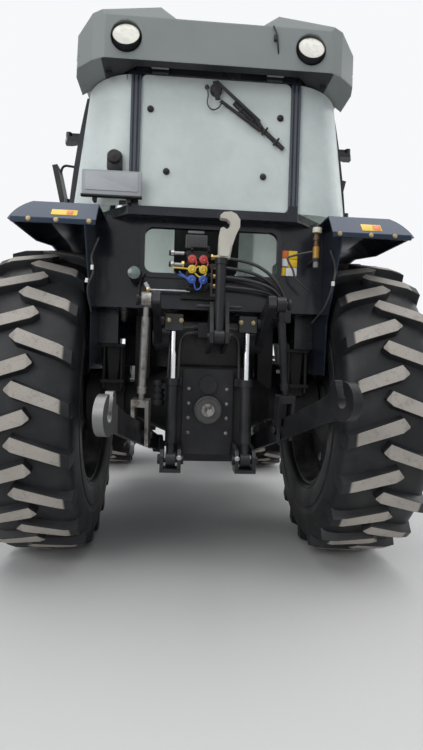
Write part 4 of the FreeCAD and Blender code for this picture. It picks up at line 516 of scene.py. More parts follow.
def swept(line, section):
    """Section, given in two directions across the line, carried along it on a frame that turns as little as it can."""
    along = np.gradient(line, axis=0)
    along /= np.linalg.norm(along, axis=1)[:, None]
    up = np.array([0.0, 0.0, 1.0]) if abs(along[0][2]) < 0.9 else np.array([1.0, 0.0, 0.0])
    ups = []
    for direction in along:
        up = unit(up - direction * (up @ direction))
        ups.append(up)
    ups = np.array(ups)
    side = np.cross(along, ups)
    return (line[:, None] + section[None, :, :1] * side[:, None] + section[None, :, 1:] * ups[:, None]).reshape(-1, 3)


def circle(radius, count):
    a = np.linspace(0, 2 * np.pi, count, endpoint=False)
    radius = np.broadcast_to(radius, count)
    return np.stack([radius * np.cos(a), radius * np.sin(a)], axis=1)


def tube(points, radius, count, around=8):
    """Closed round tube along a smooth line through places given from the rear axle."""
    line = smooth_line([at_rear(*p) for p in points], count)
    return swept(line, circle(radius, around)), closed_faces(count, around)


def turned(profile, centre, axis, around=28):
    """Profile of (distance along the axis, radius) turned about an axis through centre, given from the rear axle."""
    p = np.asarray(profile, float)
    axis = unit(axis)
    u = unit(np.cross(axis, [0, 0, 1.0] if abs(axis[2]) < 0.9 else [1.0, 0, 0]))
    a = np.linspace(0, 2 * np.pi, around, endpoint=False)
    ring = np.cos(a)[:, None] * u + np.sin(a)[:, None] * np.cross(axis, u)
    verts = at_rear(*centre) + p[:, None, :1] * axis + p[:, None, 1:] * ring[None]
    return verts.reshape(-1, 3), closed_faces(len(p), around)


def rounded_outline(width, height, corner, steps=5):
    """Rounded rectangle in two dimensions, anticlockwise."""
    a = np.linspace(0, np.pi / 2, steps)
    spots = []
    for k, (sx, sy) in enumerate(((1, 1), (-1, 1), (-1, -1), (1, -1))):
        centre = np.array([sx * (width / 2 - corner), sy * (height / 2 - corner)])
        turn = a + k * np.pi / 2
        spots.append(centre + corner * np.stack([np.cos(turn), np.sin(turn)], axis=1))
    return np.concatenate(spots)


def plate(outline, thick, edge, origin, u, v):
    """Outline raised to a plate with a rim rounded by edge: rings shrink towards the outline's middle as they rise."""
    u, v = unit(u), unit(v)
    n = np.cross(u, v)
    middle = outline.mean(axis=0)
    reach = np.linalg.norm(outline - middle, axis=1)[:, None]
    levels = [(0.0, 0.3 * edge), (0.35 * edge, 0.0), (thick - edge, 0.0), (thick - 0.3 * edge, 0.3 * edge),
              (thick, edge)]
    rings = [np.asarray(origin, float) + (middle + (outline - middle) * (1 - inset / reach)) @ np.stack([u, v]) + h * n
             for h, inset in levels]
    return np.concatenate(rings), closed_faces(len(levels), len(outline), first_turned=True)


def tile(place, width, height, corner, thick, edge):
    """Upright rounded plate that faces the back, on a place given from the rear axle."""
    return plate(rounded_outline(width, height, corner), thick, edge, at_rear(*place), right_x, up_z)


def bar(start, end, width, thick, across=back_y):
    """Bar of rectangular section with eased corners between places given from the rear axle; its thickness lies
    along across."""
    start, end, out = at_rear(*start), at_rear(*end), np.asarray(across, float)
    outline = rounded_outline(width, thick, min(width, thick) * 0.3, 3)
    ring = outline[:, :1] * np.cross(unit(end - start), out) + outline[:, 1:] * out
    return np.concatenate([start + ring, end + ring]), closed_faces(2, len(outline))


def gathered(parts):
    """Several (vertices, faces) sets as one."""
    verts, faces, first = [], [], 0
    for v, f in parts:
        verts.append(np.asarray(v, float))
        faces += [tuple(int(i) + first for i in face) for face in f]
        first += len(v)
    return np.concatenate(verts), faces


def assembled(name, parts, material, body="chassis", replaces=()):
    """One piece from several closed parts, its faces turned outwards and its edges over 35 degrees sharp."""
    thing = piece(name, *gathered(parts), material, body, replaces)
    thing.data.set_sharp_from_angle(angle=math.radians(35))
    mesh = bmesh.new()
    mesh.from_mesh(thing.data)
    bmesh.ops.recalc_face_normals(mesh, faces=mesh.faces)
    mesh.to_mesh(thing.data)
    mesh.free()
    return thing


# Tyres: the source's bars with curved flanks and a round carcass

bar_table = np.array([
    # across, leading, trailing, face depth, foot depth, as in the solids
    (-0.24, 0.15, 0.19, 0.03, 1.0),
    (-0.11, 0.0, 0.295, 0.0, 1.0),
    (0.7, 0.28, 0.545, 0.2, 1.35),
    (0.96, 0.39, 0.665, 0.65, 2.15),
    (0.985, 0.41, 0.645, 3.4, 3.9),
])
# a bar's section: u from the leading foot over the face to the trailing foot, v its share of the height, and its dust
bar_section = np.array([
    (-0.16, -0.1, 0.0), (-0.03, 0.55, 0.3), (0.0, 0.9, 0.62), (0.035, 1.0, 1.0), (0.5, 1.0, 1.0), (0.965, 1.0, 1.0),
    (1.0, 0.9, 0.62), (1.03, 0.55, 0.3), (1.16, -0.1, 0.0)])


def round_axle(centre, x, r, turn):
    """Places at distance r from the axle through centre and at an angle from the top, x beside its middle."""
    return np.stack([centre[0] + x, centre[1] - r * np.sin(turn), centre[2] + r * np.cos(turn)], axis=-1).reshape(-1, 3)


def tyre_bars(centre, radius, half, lugs, height):
    """All bars of one tyre: station s runs from nose to shoulder through the table, and the section at s is a
    trapezium with rounded upper corners, set round the tyre at its lag; left bars lag half a pitch."""
    spans = ((0, 1, 4), (1, 2, 12), (2, 3, 5))
    s = np.concatenate([np.linspace(*span)[:-1] for span in spans] + [np.linspace(3, 4, 4)])
    across, leading, trailing, face, foot = (np.interp(s, np.arange(5), column)[:, None] for column in bar_table.T)
    u, v, dust = bar_section.T
    lag = leading + (trailing - leading) * u
    r = radius - height * (foot + (face - foot) * v)
    x = np.repeat(across * half, len(u), axis=1)
    lit = dust * np.interp(s, [0.6, 1.0, 2.35, 2.9], [0.9, 1.0, 0.95, 0.0])[:, None]
    points, faces, marks, count = [], [], [], len(s) * len(u)
    for k in range(2 * lugs):
        side = 1 if k % 2 == 0 else -1
        turn = 2 * np.pi * (k // 2 + (0.0 if side > 0 else 0.5) + lag) / lugs
        points.append(round_axle(centre, side * x, r, turn))
        marks.append(lit.reshape(-1))
        nose = np.array([(0, 1, 2, 3), (3, 4, 5, 8)]) + k * count
        bar_faces = np.concatenate([grid_faces(len(s), len(u), first=k * count), nose[:, ::-1]])
        faces.append(bar_faces if side < 0 else bar_faces[:, ::-1])
    return np.concatenate(points), np.concatenate(faces), np.concatenate(marks)


def tyre_carcass(centre, radius, half, rim_radius, height, steps=160):
    """Turned carcass: a crowned tread, a rounded shoulder, a bulging side wall with two raised rings and a bead."""
    base = radius - height
    bulge = (rim_radius + base) / 2
    tread = [(0.0, 0.0), (0.66, 0.301), (0.8, 0.55), (0.9, 0.9), (0.955, 1.35), (0.975, 1.95), (0.985, 2.7),
             (0.99, 3.1)]
    wall = [(0.992, 0.02), (0.995, 0.006), (0.975, -0.004), (0.972, -0.026), (0.992, -0.032), (0.985, -0.055)]
    bead = [(0.955, 0.052), (0.925, 0.036), (0.932, 0.03), (0.9, 0.018), (0.835, 0.004), (0.79, -0.0006),
            (0.72, -0.0006), (0.7, 0.03)]
    crown = [(0.22, base - 0.0015), (0.45, base - 0.006)]
    right = [(share, base - depth * height) for share, depth in tread]
    right[1:1] = crown
    right += [(share, bulge + rise) for share, rise in wall] + [(share, rim_radius + rise) for share, rise in bead]
    profile = np.array([(-share, r) for share, r in right[:0:-1]] + right)
    turn = np.linspace(0, 2 * np.pi, steps, endpoint=False)[:, None]
    x = np.repeat((profile[:, 0] * half)[None, :], steps, axis=0)
    return round_axle(centre, x, profile[:, 1][None, :], turn), grid_faces(steps, len(profile), wrap_rows=True)


def make_tyre(node, body, centre, radius, half, rim_radius, lugs, height):
    points, faces, marks = tyre_bars(centre, radius, half, lugs, height)
    ring, ring_faces = tyre_carcass(centre, radius, half, rim_radius, height)
    everything, all_faces = np.concatenate([points, ring]), np.concatenate([faces, ring_faces + len(points)])
    tyre = piece(node + "_rubber", everything, all_faces.tolist(), finish["tread"], body, (node,), "tyre_rubber")
    face = tyre.data.attributes.new("lug_face", "FLOAT", "POINT")
    face.data.foreach_set("value", np.concatenate([marks, np.zeros(len(ring))]).astype(np.float32))
    tyre.data.set_sharp_from_angle(angle=math.radians(38))


tyre_sizes = {
    # track's half, axle, radius, half width, rim radius, bars a side, bar height
    "rear": (0.865, rear_axle, 0.877, 0.2335, 0.492, 22, 0.038),
    "front": (0.83, front_axle, 0.633, 0.189, 0.312, 19, 0.032),
}
for end, (track, axle, *sizes) in tyre_sizes.items():
    for side, sign in (("left", -1), ("right", 1)):
        make_tyre(f"{end}_tyre_{side}", f"{end}_wheel_{side}", (sign * track, *axle), *sizes)


# Rear window: studs, wiper, washer tube, round pads and clips

def stud(centre, out, radius=0.017, proud=0.016):
    """Domed knob: profile rises as a quarter ellipse from a flat collar."""
    a = np.linspace(0, np.pi / 2, 7)
    dome = [(0.45 * proud + 0.55 * proud * math.sin(t), 0.82 * radius * math.cos(t) + 1e-4) for t in a]
    return turned([(0.0, radius), (0.25 * proud, radius), (0.45 * proud, 0.92 * radius)] + dome, centre, out, 24)


black = finish["moulded_black"]
pane_y = -0.548                  # the rear pane's outer face
window_studs = [(-0.336, 2.388), (0.331, 2.383), (-0.248, 2.077), (0.25, 2.077)]
assembled("window_studs", [stud((x, pane_y, z), back_y) for x, z in window_studs], black)

wiper = [
    bar((-0.006, -0.572, 2.538), (0.222, -0.566, 2.352), 0.016, 0.009),
    bar((0.018, -0.572, 2.44), (0.228, -0.566, 2.304), 0.017, 0.009),
    bar((-0.012, -0.572, 2.536), (0.004, -0.572, 2.446), 0.026, 0.012),
    bar((0.205, -0.566, 2.36), (0.232, -0.566, 2.318), 0.02, 0.013),
    bar((0.088, -0.556, 2.442), (0.35, -0.556, 2.222), 0.022, 0.015),
    turned([(0, 0.03), (0.02, 0.03), (0.028, 0.024), (0.034, 0.001)], (-0.006, pane_y, 2.5), back_y),
]
for s in (0.15, 0.38, 0.62, 0.85):
    x, z = 0.088 + s * 0.262, 2.442 - s * 0.22
    wiper.append(bar((x - 0.014, -0.562, z - 0.017), (x + 0.014, -0.562, z + 0.017), 0.01, 0.014))
assembled("rear_wiper", wiper, black)
washer = [(-0.053, 2.512), (-0.046, 2.47), (-0.049, 2.43), (-0.036, 2.404), (-0.014, 2.396), (0.01, 2.41),
          (0.024, 2.434)]
assembled("washer_tube", [tube([(x, -0.566, z) for x, z in washer], 0.0035, 60),
                          stud((-0.053, pane_y, 2.516), back_y, 0.011, 0.022)], finish["hose"])

# Light grey covers on the two hinge blocks, each with its slot; dark round pads behind the posts; corner clips
grey_moulding = coated("grey_moulding", (0.155, 0.16, 0.166), (0.195, 0.2, 0.205), (0.5, 0.65), (420.0, 0.3), 0.25,
                       edge_wear_and_highlight=0.1)
covers, slots = [], []
for x in (-0.29, 0.29):
    covers.append(tile((x, -0.6, 2.584), 0.086, 0.046, 0.004, 0.006, 0.002))
    covers.append(plate(rounded_outline(0.086, 0.04, 0.004), 0.006, 0.002, at_rear(x, -0.58, 2.609), right_x, front_y))
    slots.append(bar((x - 0.022, -0.6065, 2.596), (x + 0.022, -0.6065, 2.596), 0.006, 0.003))
assembled("hinge_covers", covers, grey_moulding)
assembled("hinge_cover_slots", slots, black)
pads = [turned([(0, 0.049), (0.006, 0.049), (0.01, 0.044), (0.01, 0.001)], (x, -0.5415, z), front_y, 36)
        for x, z in ((-0.412, 2.545), (0.396, 2.548))]
pads += [stud((sign * 0.484, -0.508, 2.521), (0.5 * sign, -0.86, 0), 0.016, 0.018) for sign in (-1, 1)]
assembled("corner_pads", pads, black)
clip = [(-0.003, -0.026), (0.003, -0.026), (0.024, 0.024), (0.02, 0.026), (-0.02, 0.026), (-0.024, 0.024)]
assembled("corner_clips", [plate(np.array(clip), 0.008, 0.002, at_rear(x, -0.536, 2.56), right_x, up_z)
                           for x in (-0.552, 0.552)], black)


# Lamps: domed lenses in the four roof cups, the rims of the rear ones and the lead to the right hand one

def domed_lens(centre, out, radius, proud=0.004):
    """Lens: a shallow dome, height falling with the square of the radius, on a short straight rim."""
    dome = [(0.002 + proud * (1 - q * q), radius * q) for q in np.linspace(1.0, 0.02, 9)]
    return turned([(-0.004, radius)] + dome, centre, out, 48)


tilt = math.radians(16.0)
shine = np.array([0.0, -math.cos(tilt), math.sin(tilt)])
lamps = [np.array([x, -0.663, 2.68]) for x in (-0.455, 0.455)]
lenses = [domed_lens(lamp - shine * 0.001, shine, 0.0645) for lamp in lamps]
lenses += [domed_lens((x, 1.338, 2.6916), (0.0, 0.98, -0.18), 0.044) for x in (-0.455, 0.455)]
assembled("lamp_lenses", lenses, finish["lens"])
rim = [(-0.004, 0.066), (0.003, 0.0668), (0.005, 0.0655), (0.004, 0.064), (-0.003, 0.064)]
assembled("lamp_rims", [turned(rim, lamp, shine, 48) for lamp in lamps], finish["satin_black"])
lead = [(0.264, -0.658, 2.778), (0.278, -0.668, 2.735), (0.286, -0.664, 2.69), (0.293, -0.65, 2.64),
        (0.297, -0.618, 2.603)]
assembled("lamp_lead", [tube(lead, 0.004, 40), tile((0.276, -0.655, 2.718), 0.02, 0.03, 0.004, 0.014, 0.003)], black)

# Number plate (blank) in its light grey holder, with the dark knob over it and the handle below
plate_white = coated("plate_enamel", (0.31, 0.325, 0.335), (0.355, 0.37, 0.38), (0.3, 0.42), (30.0, 0.03), 0.3,
                     (0.42, 0.42, 0.4), edge_wear_and_highlight=0.1)
plate_grey = coated("plate_holder", (0.27, 0.285, 0.298), (0.31, 0.325, 0.336), (0.4, 0.5), (200.0, 0.08), 0.35,
                    edge_wear_and_highlight=0.1)
assembled("number_plate", [tile((-0.514, -0.592, 1.9865), 0.292, 0.122, 0.008, 0.01, 0.002)], plate_grey)
assembled("number_plate_face", [tile((-0.514, -0.6018, 1.992), 0.262, 0.092, 0.006, 0.003, 0.001)], plate_white)
assembled("number_plate_holder", [
    bar((-0.664, -0.592, 1.921), (-0.364, -0.592, 1.921), 0.01, 0.03),
    bar((-0.6, -0.56, 1.926), (-0.6, -0.586, 1.926), 0.02, 0.06, up_z),
    bar((-0.43, -0.56, 1.926), (-0.43, -0.586, 1.926), 0.02, 0.06, up_z)], black)
assembled("pane_latch", [
    turned([(0, 0.03), (0.012, 0.034), (0.03, 0.036), (0.04, 0.03), (0.045, 0.001)], (-0.508, -0.545, 2.128), back_y),
    tile((-0.508, -0.54, 2.108), 0.076, 0.11, 0.024, 0.03, 0.008),
    bar((-0.506, -0.548, 2.075), (-0.474, -0.56, 2.052), 0.018, 0.014),
    bar((-0.48, -0.56, 1.904), (-0.444, -0.566, 1.904), 0.02, 0.012)], black)

# Mudguards and panel: plain coloured stickers, and the bolts along the mudguards' lower flange
sticker = {"rough": (0.3, 0.4), "grain": (40.0, 0.02)}
yellow_film = coated("yellow_sticker", (0.8, 0.5, 0.01), (0.86, 0.56, 0.02), dust=0.12, **sticker)
orange_film = coated("orange_sticker", (0.72, 0.14, 0.012), (0.8, 0.18, 0.018), dust=0.12, **sticker)
white_film = coated("white_sticker", (0.7, 0.7, 0.68), (0.78, 0.78, 0.76), dust=0.15, **sticker)
slope = 0.8137                   # how far the mudguard's slanted back leans forward over its height
panel_y = -0.4704


def film(x0, x1, z0, z1, y=panel_y, lean=0.0):
    """Thin label from corner to corner; lean carries its upper edge forward over its height."""
    up = np.array([0.0, lean, z1 - z0])
    return plate(rounded_outline(x1 - x0, float(np.linalg.norm(up)), 0.003), 0.0014, 0.0004,
                 at_rear((x0 + x1) / 2, y + lean / 2, (z0 + z1) / 2), right_x, up)


def slanted_film(x0, x1, z0, z1, proud=0.0):
    """Label on the mudguard's slanted back, a hair outside it."""
    return film(x0, x1, z0, z1, -0.7695 + slope * (z0 - 1.76) - proud, slope * (z1 - z0))


assembled("mudguard_labels_yellow", [
    slanted_film(-0.764, -0.645, 1.766, 1.798), slanted_film(0.703, 0.802, 1.761, 1.801)], yellow_film)
assembled("mudguard_labels_orange", [
    slanted_film(-0.694, -0.664, 1.771, 1.793, 0.0016), slanted_film(0.76, 0.797, 1.766, 1.796, 0.0016)], orange_film)
assembled("panel_labels_yellow", [
    film(0.4135, 0.461, 1.678, 1.722), film(0.4135, 0.461, 1.634, 1.676),
    film(0.3665, 0.3985, 1.588, 1.632)], yellow_film)
assembled("panel_labels_red", [film(0.369, 0.4115, 1.682, 1.722)], orange_film)
assembled("panel_labels_white", [film(0.3675, 0.4115, 1.638, 1.68), film(0.4005, 0.46, 1.588, 1.632)], white_film)


def bolt(centre, radius=0.01, proud=0.008):
    """Hexagon head with a chamfered top on a round flange, towards the back."""
    flange = [(0, 1.35 * radius), (0.22 * proud, 1.3 * radius), (0.28 * proud, 0.9 * radius)]
    head = [(0.2 * proud, radius), (0.86 * proud, radius), (proud, 0.82 * radius), (proud, 0.001)]
    return gathered([turned(flange, centre, back_y, 20), turned(head, centre, back_y, 6)])


flange_bolts = [bolt((x, -0.792, 1.736), 0.0085, 0.007) for x in (-0.857, -0.733, -0.585, 0.586, 0.738, 0.854)]
assembled("mudguard_bolts", flange_bolts, finish["zinc"])

# Remote valves: knurled grips and lugs of the dust caps, their tethers, unions, and the pressure fittings
cap_heights = {"red": 1.612, "yellow": 1.563, "blue": 1.513}
tethers = {
    "red": [[(-0.088, 0.0), (-0.084, -0.02), (-0.09, -0.036)], [(-0.034, 0.0), (-0.028, -0.022), (-0.036, -0.04)]],
    "yellow": [[(-0.2, 0.004), (-0.16, 0.003), (-0.124, 0.0)],
               [(-0.09, -0.02), (-0.07, -0.036), (-0.048, -0.034), (-0.034, -0.018)],
               [(-0.087, 0.004), (-0.072, 0.014), (-0.064, 0.004)]],
    "blue": [[(-0.168, 0.036), (-0.15, 0.02), (-0.124, 0.004)],
             [(-0.095, -0.01), (-0.084, -0.048), (-0.062, -0.04), (-0.056, -0.014)],
             [(-0.17, 0.02), (-0.14, 0.008), (-0.118, -0.008)]],
}
knurled = circle(0.0205 + 0.0012 * (np.arange(48) % 2), 48)
cap_lug = [(0, 0.012), (0.003, 0.0115), (0.004, 0.009), (0.002, 0.0065), (0.0015, 0.001)]
for tint, z in cap_heights.items():
    parts = []
    for x in (-0.105, -0.05):
        parts.append(plate(knurled, 0.012, 0.003, at_rear(x, -0.6605, z), right_x, up_z))
        parts.append(turned(cap_lug, (x, -0.6722, z), back_y, 24))
    parts += [tube([(x, -0.668, z + dz) for x, dz in route], 0.0042, 28) for route in tethers[tint]]
    tone = cap_tones[tint]
    assembled(f"coupler_caps_{tint}", parts, coated(f"{tint}_cap", tuple(c * 0.8 for c in tone), tone, (0.28, 0.4),
                                                    (300.0, 0.12), 0.15, Coat_Weight=0.2))


def rod(x, y, z, radius, length, around=24, tail=()):
    """Round or six sided rod towards the right from x, with more profile points after it."""
    return turned([(0, radius), (length, radius), *tail], (x, y, z), right_x, around)


union_y = -0.53
unions = []
for z in (1.655, 1.606, 1.557, 1.506):
    for x0, x1, r in ((-0.006, 0.004, 0.0165), (0.004, 0.024, 0.0125), (0.024, 0.034, 0.015)):
        unions.append(rod(x0, union_y, z, r, x1 - x0, 6 if r > 0.014 else 24))
    unions.append(rod(0.036, union_y, z, 0.0115, 0.02, tail=[(0.026, 0.0102)]))
assembled("valve_unions", unions, finish["brass"])
fittings = [rod(-0.212, union_y, z, 0.015, 0.016, 6) for z in (1.611, 1.669)]
fittings += [rod(-0.194, union_y, z, 0.0105, 0.05) for z in (1.611, 1.669)]
fittings.append(rod(-0.315, -0.526, 1.476, 0.0062, 0.205, 20))
assembled("pressure_fittings", fittings, finish["steel"])
assembled("brass_nuts", [rod(-0.157, union_y, 1.613, 0.0165, 0.014, 6), rod(-0.332, -0.526, 1.476, 0.0135, 0.01, 6)],
          finish["brass"])

# Ribbed grey box over the valves, its pale lug, and the amber bottle by the right hand mudguard
ribs = [tile((-0.0825, -0.5, 1.733), 0.113, 0.07, 0.004, 0.03, 0.003)]
for x in (-0.133 + 0.0101 * k for k in range(11)):
    ribs.append(bar((x, -0.532, 1.702), (x, -0.532, 1.764), 0.0045, 0.006))
assembled("ribbed_box", ribs, coated("ribbed_grey_moulding", (0.052, 0.052, 0.056), (0.075, 0.075, 0.08), (0.45, 0.6),
                                     (500.0, 0.25), 0.35, edge_wear_and_highlight=0.1))
lug_dot = turned([(0, 0.0042), (0.002, 0.004), (0.002, 0.001)], (-0.082, -0.531, 1.756), back_y, 16)
assembled("ribbed_box_lug", [tile((-0.0845, -0.5, 1.7875), 0.087, 0.014, 0.006, 0.01, 0.004), lug_dot], grey_moulding)
bottle = [(0.0, 0.0115), (0.004, 0.0135), (0.045, 0.0135), (0.047, 0.0165), (0.104, 0.0165), (0.108, 0.013),
          (0.135, 0.013), (0.138, 0.0175), (0.158, 0.0175), (0.166, 0.0125), (0.176, 0.012)]
amber = patched("amber_bottle", finish["hose"], ({"Z": (1.6, 1.658)}, (0.26, 0.25, 0.25), 0.35, 0.0),
                ({"Z": (1.658, 1.716)}, (0.42, 0.22, 0.035), 0.3, 0.0),
                ({"Z": (1.716, 1.8)}, (0.1, 0.055, 0.022), 0.4, 0.0))
assembled("fluid_bottle", [turned(bottle, (0.527, -0.6, 1.611), up_z, 32)], amber)
cream = coated("cream_moulding", (0.6, 0.58, 0.44), (0.7, 0.68, 0.54), (0.4, 0.5), (300.0, 0.1), 0.25)
bottle_cap = [(0, 0.0225), (0.002, 0.024), (0.022, 0.024), (0.026, 0.0215), (0.026, 0.001)]
assembled("fluid_bottle_cap", [turned(bottle_cap, (0.529, -0.6, 1.788), (0.06, -0.12, 0.99), 32)], cream)
assembled("fluid_bottle_clamp", [turned([(0, 0.019), (0.014, 0.019)], (0.527, -0.6, 1.64), up_z, 32),
                                 bar((0.527, -0.582, 1.649), (0.527, -0.47, 1.649), 0.03, 0.01, up_z)], black)

# Tail lamp lens, clipped wires with their tags and plugs
tail_lens = domed_lens((-0.392, -0.6006, 1.547), back_y, 0.031, 0.006)
assembled("tail_lamp_lens", [tail_lens], lens("tail_lens", (0.085, 0.125, 0.115), 120.0))
wires = [
    (0.0045, [(-0.345, -0.498, 1.572), (-0.368, -0.503, 1.52), (-0.373, -0.498, 1.45), (-0.362, -0.49, 1.412)]),
    (0.0055, [(0.545, -0.6, 1.7), (0.47, -0.56, 1.69), (0.402, -0.545, 1.672), (0.395, -0.545, 1.655),
              (0.42, -0.552, 1.605), (0.436, -0.556, 1.56), (0.5, -0.57, 1.5)]),
    (0.005, [(-0.565, -0.64, 1.7), (-0.585, -0.7, 1.6), (-0.572, -0.72, 1.52), (-0.6, -0.7, 1.44),
              (-0.59, -0.64, 1.34)]),
    (0.005, [(0.59, -0.64, 1.69), (0.6, -0.69, 1.6), (0.585, -0.7, 1.5), (0.56, -0.66, 1.4),
              (0.52, -0.59, 1.33)]),
]
assembled("clipped_wires", [tube(points, radius, 56) for radius, points in wires], finish["hose"])
assembled("wire_plugs", [bar((-0.318, -0.5, 1.476), (-0.342, -0.5, 1.516), 0.02, 0.016),
                         bar((-0.575, -0.735, 1.527), (-0.575, -0.735, 1.549), 0.013, 0.008),
                         bar((-0.605, -0.712, 1.47), (-0.601, -0.712, 1.49), 0.014, 0.008),
                         bar((0.587, -0.706, 1.502), (0.587, -0.706, 1.524), 0.016, 0.01)], white_film)


# Driver's seat: cushions swollen by cloth pressure on a rubber bellows, in place of the plain solid

def remeshed(thing, voxel):
    """Even skin of small quads over the thing's form."""
    even = thing.modifiers.new("even", "REMESH")
    even.mode = "VOXEL"
    even.voxel_size = voxel
    even.use_smooth_shade = True
    deps = bpy.context.evaluated_depsgraph_get()
    skin = bpy.data.meshes.new_from_object(thing.evaluated_get(deps))
    thing.modifiers.remove(even)
    for material in thing.data.materials:
        skin.materials.append(material)
    thing.data = skin


def points_of(mesh):
    flat = np.empty(3 * len(mesh.vertices), np.float32)
    mesh.vertices.foreach_get("co", flat)
    return flat.reshape(-1, 3).astype(float)


def move_points(mesh, points):
    mesh.vertices.foreach_set("co", points.reshape(-1).astype(np.float32))
    mesh.update()


def swollen(thing, reach=0.024, pressure=4.0, frames=20):
    """Cloth pushed out by pressure from inside; each point moves at most reach along its way."""
    rest = points_of(thing.data)
    cloth = thing.modifiers.new("pressure", "CLOTH")
    cloth.settings.use_pressure = True
    cloth.settings.uniform_pressure_force = pressure
    cloth.settings.effector_weights.gravity = 0.0
    cloth.settings.quality = 4
    cloth.point_cache.frame_end = frames
    for number in range(1, frames + 1):
        bpy.context.scene.frame_set(number)
    deps = bpy.context.evaluated_depsgraph_get()
    way = points_of(thing.evaluated_get(deps).data) - rest
    thing.modifiers.remove(cloth)
    bpy.context.scene.frame_set(1)
    far = np.linalg.norm(way, axis=1)[:, None] + 1e-9
    move_points(thing.data, rest + way * np.minimum(1.0, reach / far))


def cushion(name, width, length, thick, corner, origin, u, v, seams, depth=0.011, spread=0.007):
    """Padded block on the plane u, v with sewn channels: a channel lies where its distance across the face is nil,
    and its depth falls as a bell over the distance."""
    parts = plate(rounded_outline(width, length, corner, 8), thick, 0.42 * thick, origin, u, v)
    thing = assembled(name, [parts], finish["cloth"], replaces=("seat",))
    remeshed(thing, 0.006)
    swollen(thing)
    u, v = unit(u), unit(v)
    n = np.cross(u, v)
    p = points_of(thing.data)
    local = p - np.asarray(origin, float)
    across, along, height = local @ u, local @ v, local @ n
    sunk = np.zeros(len(p))
    for way, at in seams:
        gap = (across if way == "across" else along) - at
        sunk = np.maximum(sunk, depth * np.exp(-(gap / spread) ** 2))
    inside = (np.abs(across) < 0.47 * width) & (np.abs(along) < 0.47 * length)
    p -= n * (sunk * np.sign(height - thick / 2) * inside)[:, None]
    height = (p - np.asarray(origin, float)) @ n
    p += n * np.maximum(0.0, -height)[:, None]
    move_points(thing.data, p)
    finer = thing.modifiers.new("finer", "SUBSURF")
    finer.levels = finer.render_levels = 1


back_rise = np.array([0.0, -0.2125, 0.977])
cushion("seat_cushion", 0.415, 0.44, 0.082, 0.075, (0.0, -0.712, 1.572), right_x, front_y,
        [("across", -0.125), ("across", 0.125), ("along", 0.085)])
cushion("seat_back", 0.4, 0.44, 0.078, 0.085, (0.0, -0.936, 1.872), (-1, 0, 0), back_rise,
        [("across", -0.12), ("across", 0.12), ("along", -0.09)])
outline = rounded_outline(0.3, 0.35, 0.04)
bellows = []
for k in range(9):               # folds of the bellows: every second ring is drawn in
    fold = outline * (1 - 0.01 * (k % 2) / 0.15) + np.array([0.0, -0.695])
    bellows.append(np.concatenate([fold, np.full((len(fold), 1), 1.4106 + k * 0.016)], axis=1))
walls = closed_faces(len(bellows), len(outline), first_turned=True)
assembled("seat_bellows", [(np.concatenate(bellows), walls)], finish["hose"], replaces=("seat",))
shell = plate(rounded_outline(0.41, 0.45, 0.085), 0.012, 0.004, (0.0, -0.9395, 1.8712), right_x, back_rise)
pan = plate(rounded_outline(0.4, 0.43, 0.06), 0.026, 0.006, (0.0, -0.705, 1.5415), right_x, front_y)
arms = [bar((x, 0.09, 1.555), (x, 0.057, 1.68), 0.045, 0.01, right_x) for x in (-0.165, 0.165)]
assembled("seat_shell", [shell, pan, *arms], black, replaces=("seat",))

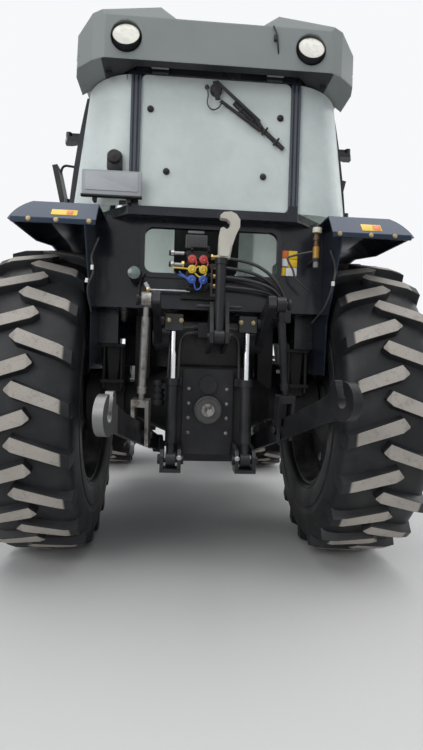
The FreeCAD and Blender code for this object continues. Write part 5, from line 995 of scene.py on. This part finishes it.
# Bolt heads on the castings, the cylinder feet and the lift rods' clevises, and the ring round the stub
both_sides = (-1, 1)
cover_bolts = [(side * 0.1, z) for side in both_sides for z in (0.742, 0.82, 0.895, 0.972)]
assembled("cover_bolts", [bolt((x, -0.5045, z), 0.007, 0.007) for x, z in cover_bolts], finish["worn_steel"])
foot_bolts = [(side * x, y, 0.64) for side in both_sides for x, y in ((0.1425, -0.6804), (0.2095, -0.6459))]
assembled("cylinder_foot_bolts", [bolt(place, 0.0095, 0.01) for place in foot_bolts], finish["steel"])
head_bolts = [(side * x, -0.6284, 1.314) for side in both_sides for x in (0.15, 0.212)]
assembled("rod_head_bolts", [bolt(place, 0.0085, 0.01) for place in head_bolts], finish["zinc"], "cylinder_rods")
ring = [(0.0, 0.06), (0.0, 0.07), (0.01, 0.072), (0.02, 0.07), (0.022, 0.065), (0.018, 0.061)]
assembled("pto_guard_ring", [turned(ring, (0.0, -0.5384, 0.865), back_y, 48)], finish["engine"])


# Hydraulic hoses: each a smooth curve along its route from union to block

hose_width = 0.017


def hose(name, route):
    """Curve of second order through its route, from rear axle places; both ends go into the machine."""
    data = bpy.data.curves.new(name, "CURVE")
    data.dimensions = "3D"
    data.bevel_depth = hose_width / 2
    data.bevel_resolution = 5
    data.resolution_u = 14
    data.use_fill_caps = True
    spline = data.splines.new("NURBS")
    spline.points.add(len(route) - 1)
    for point, place in zip(spline.points, route):
        point.co = (*at_rear(*place), 1)
    spline.order_u = 3
    spline.use_endpoint_u = True
    data.materials.append(finish["hose"])
    line = placed(name, data)
    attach(line, "chassis")
    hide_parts("hoses")


cylinder_hoses = {
    # X and Z along the route from the housing to the cylinder's foot, and the route's length
    "inner": ([(0.0844, 1.262), (0.14, 1.262), (0.156, 1.18), (0.158, 1.0304)], 0.2742),
    "outer": ([(0.0844, 1.29), (0.176, 1.29), (0.207, 1.18), (0.209, 1.0304)], 0.3358),
}
for place, (route, length) in cylinder_hoses.items():
    for side, sign in (("left", -1), ("right", 1)):
        hose(f"cylinder_hose_{place}_{side}", [(sign * x, -0.53, z) for x, z in route])
valve_hoses = ((1.506, 0.4369), (1.557, 0.4616), (1.606, 0.5028), (1.655, 0.5389))
for k, (z, length) in enumerate(valve_hoses):
    y = union_y - 0.019 * (k % 2)
    knee = 1.474 + 0.55 * (z - 1.48)
    x_end = 0.38 + 0.019 * (k // 2)
    hose(f"valve_hose_{k + 1}", [(-0.0036, union_y, z), (0.1 + 0.025 * k, union_y, z), (0.3 + 0.008 * k, y, knee),
                                 (x_end, y, 1.44), (x_end, y, 1.3904)])
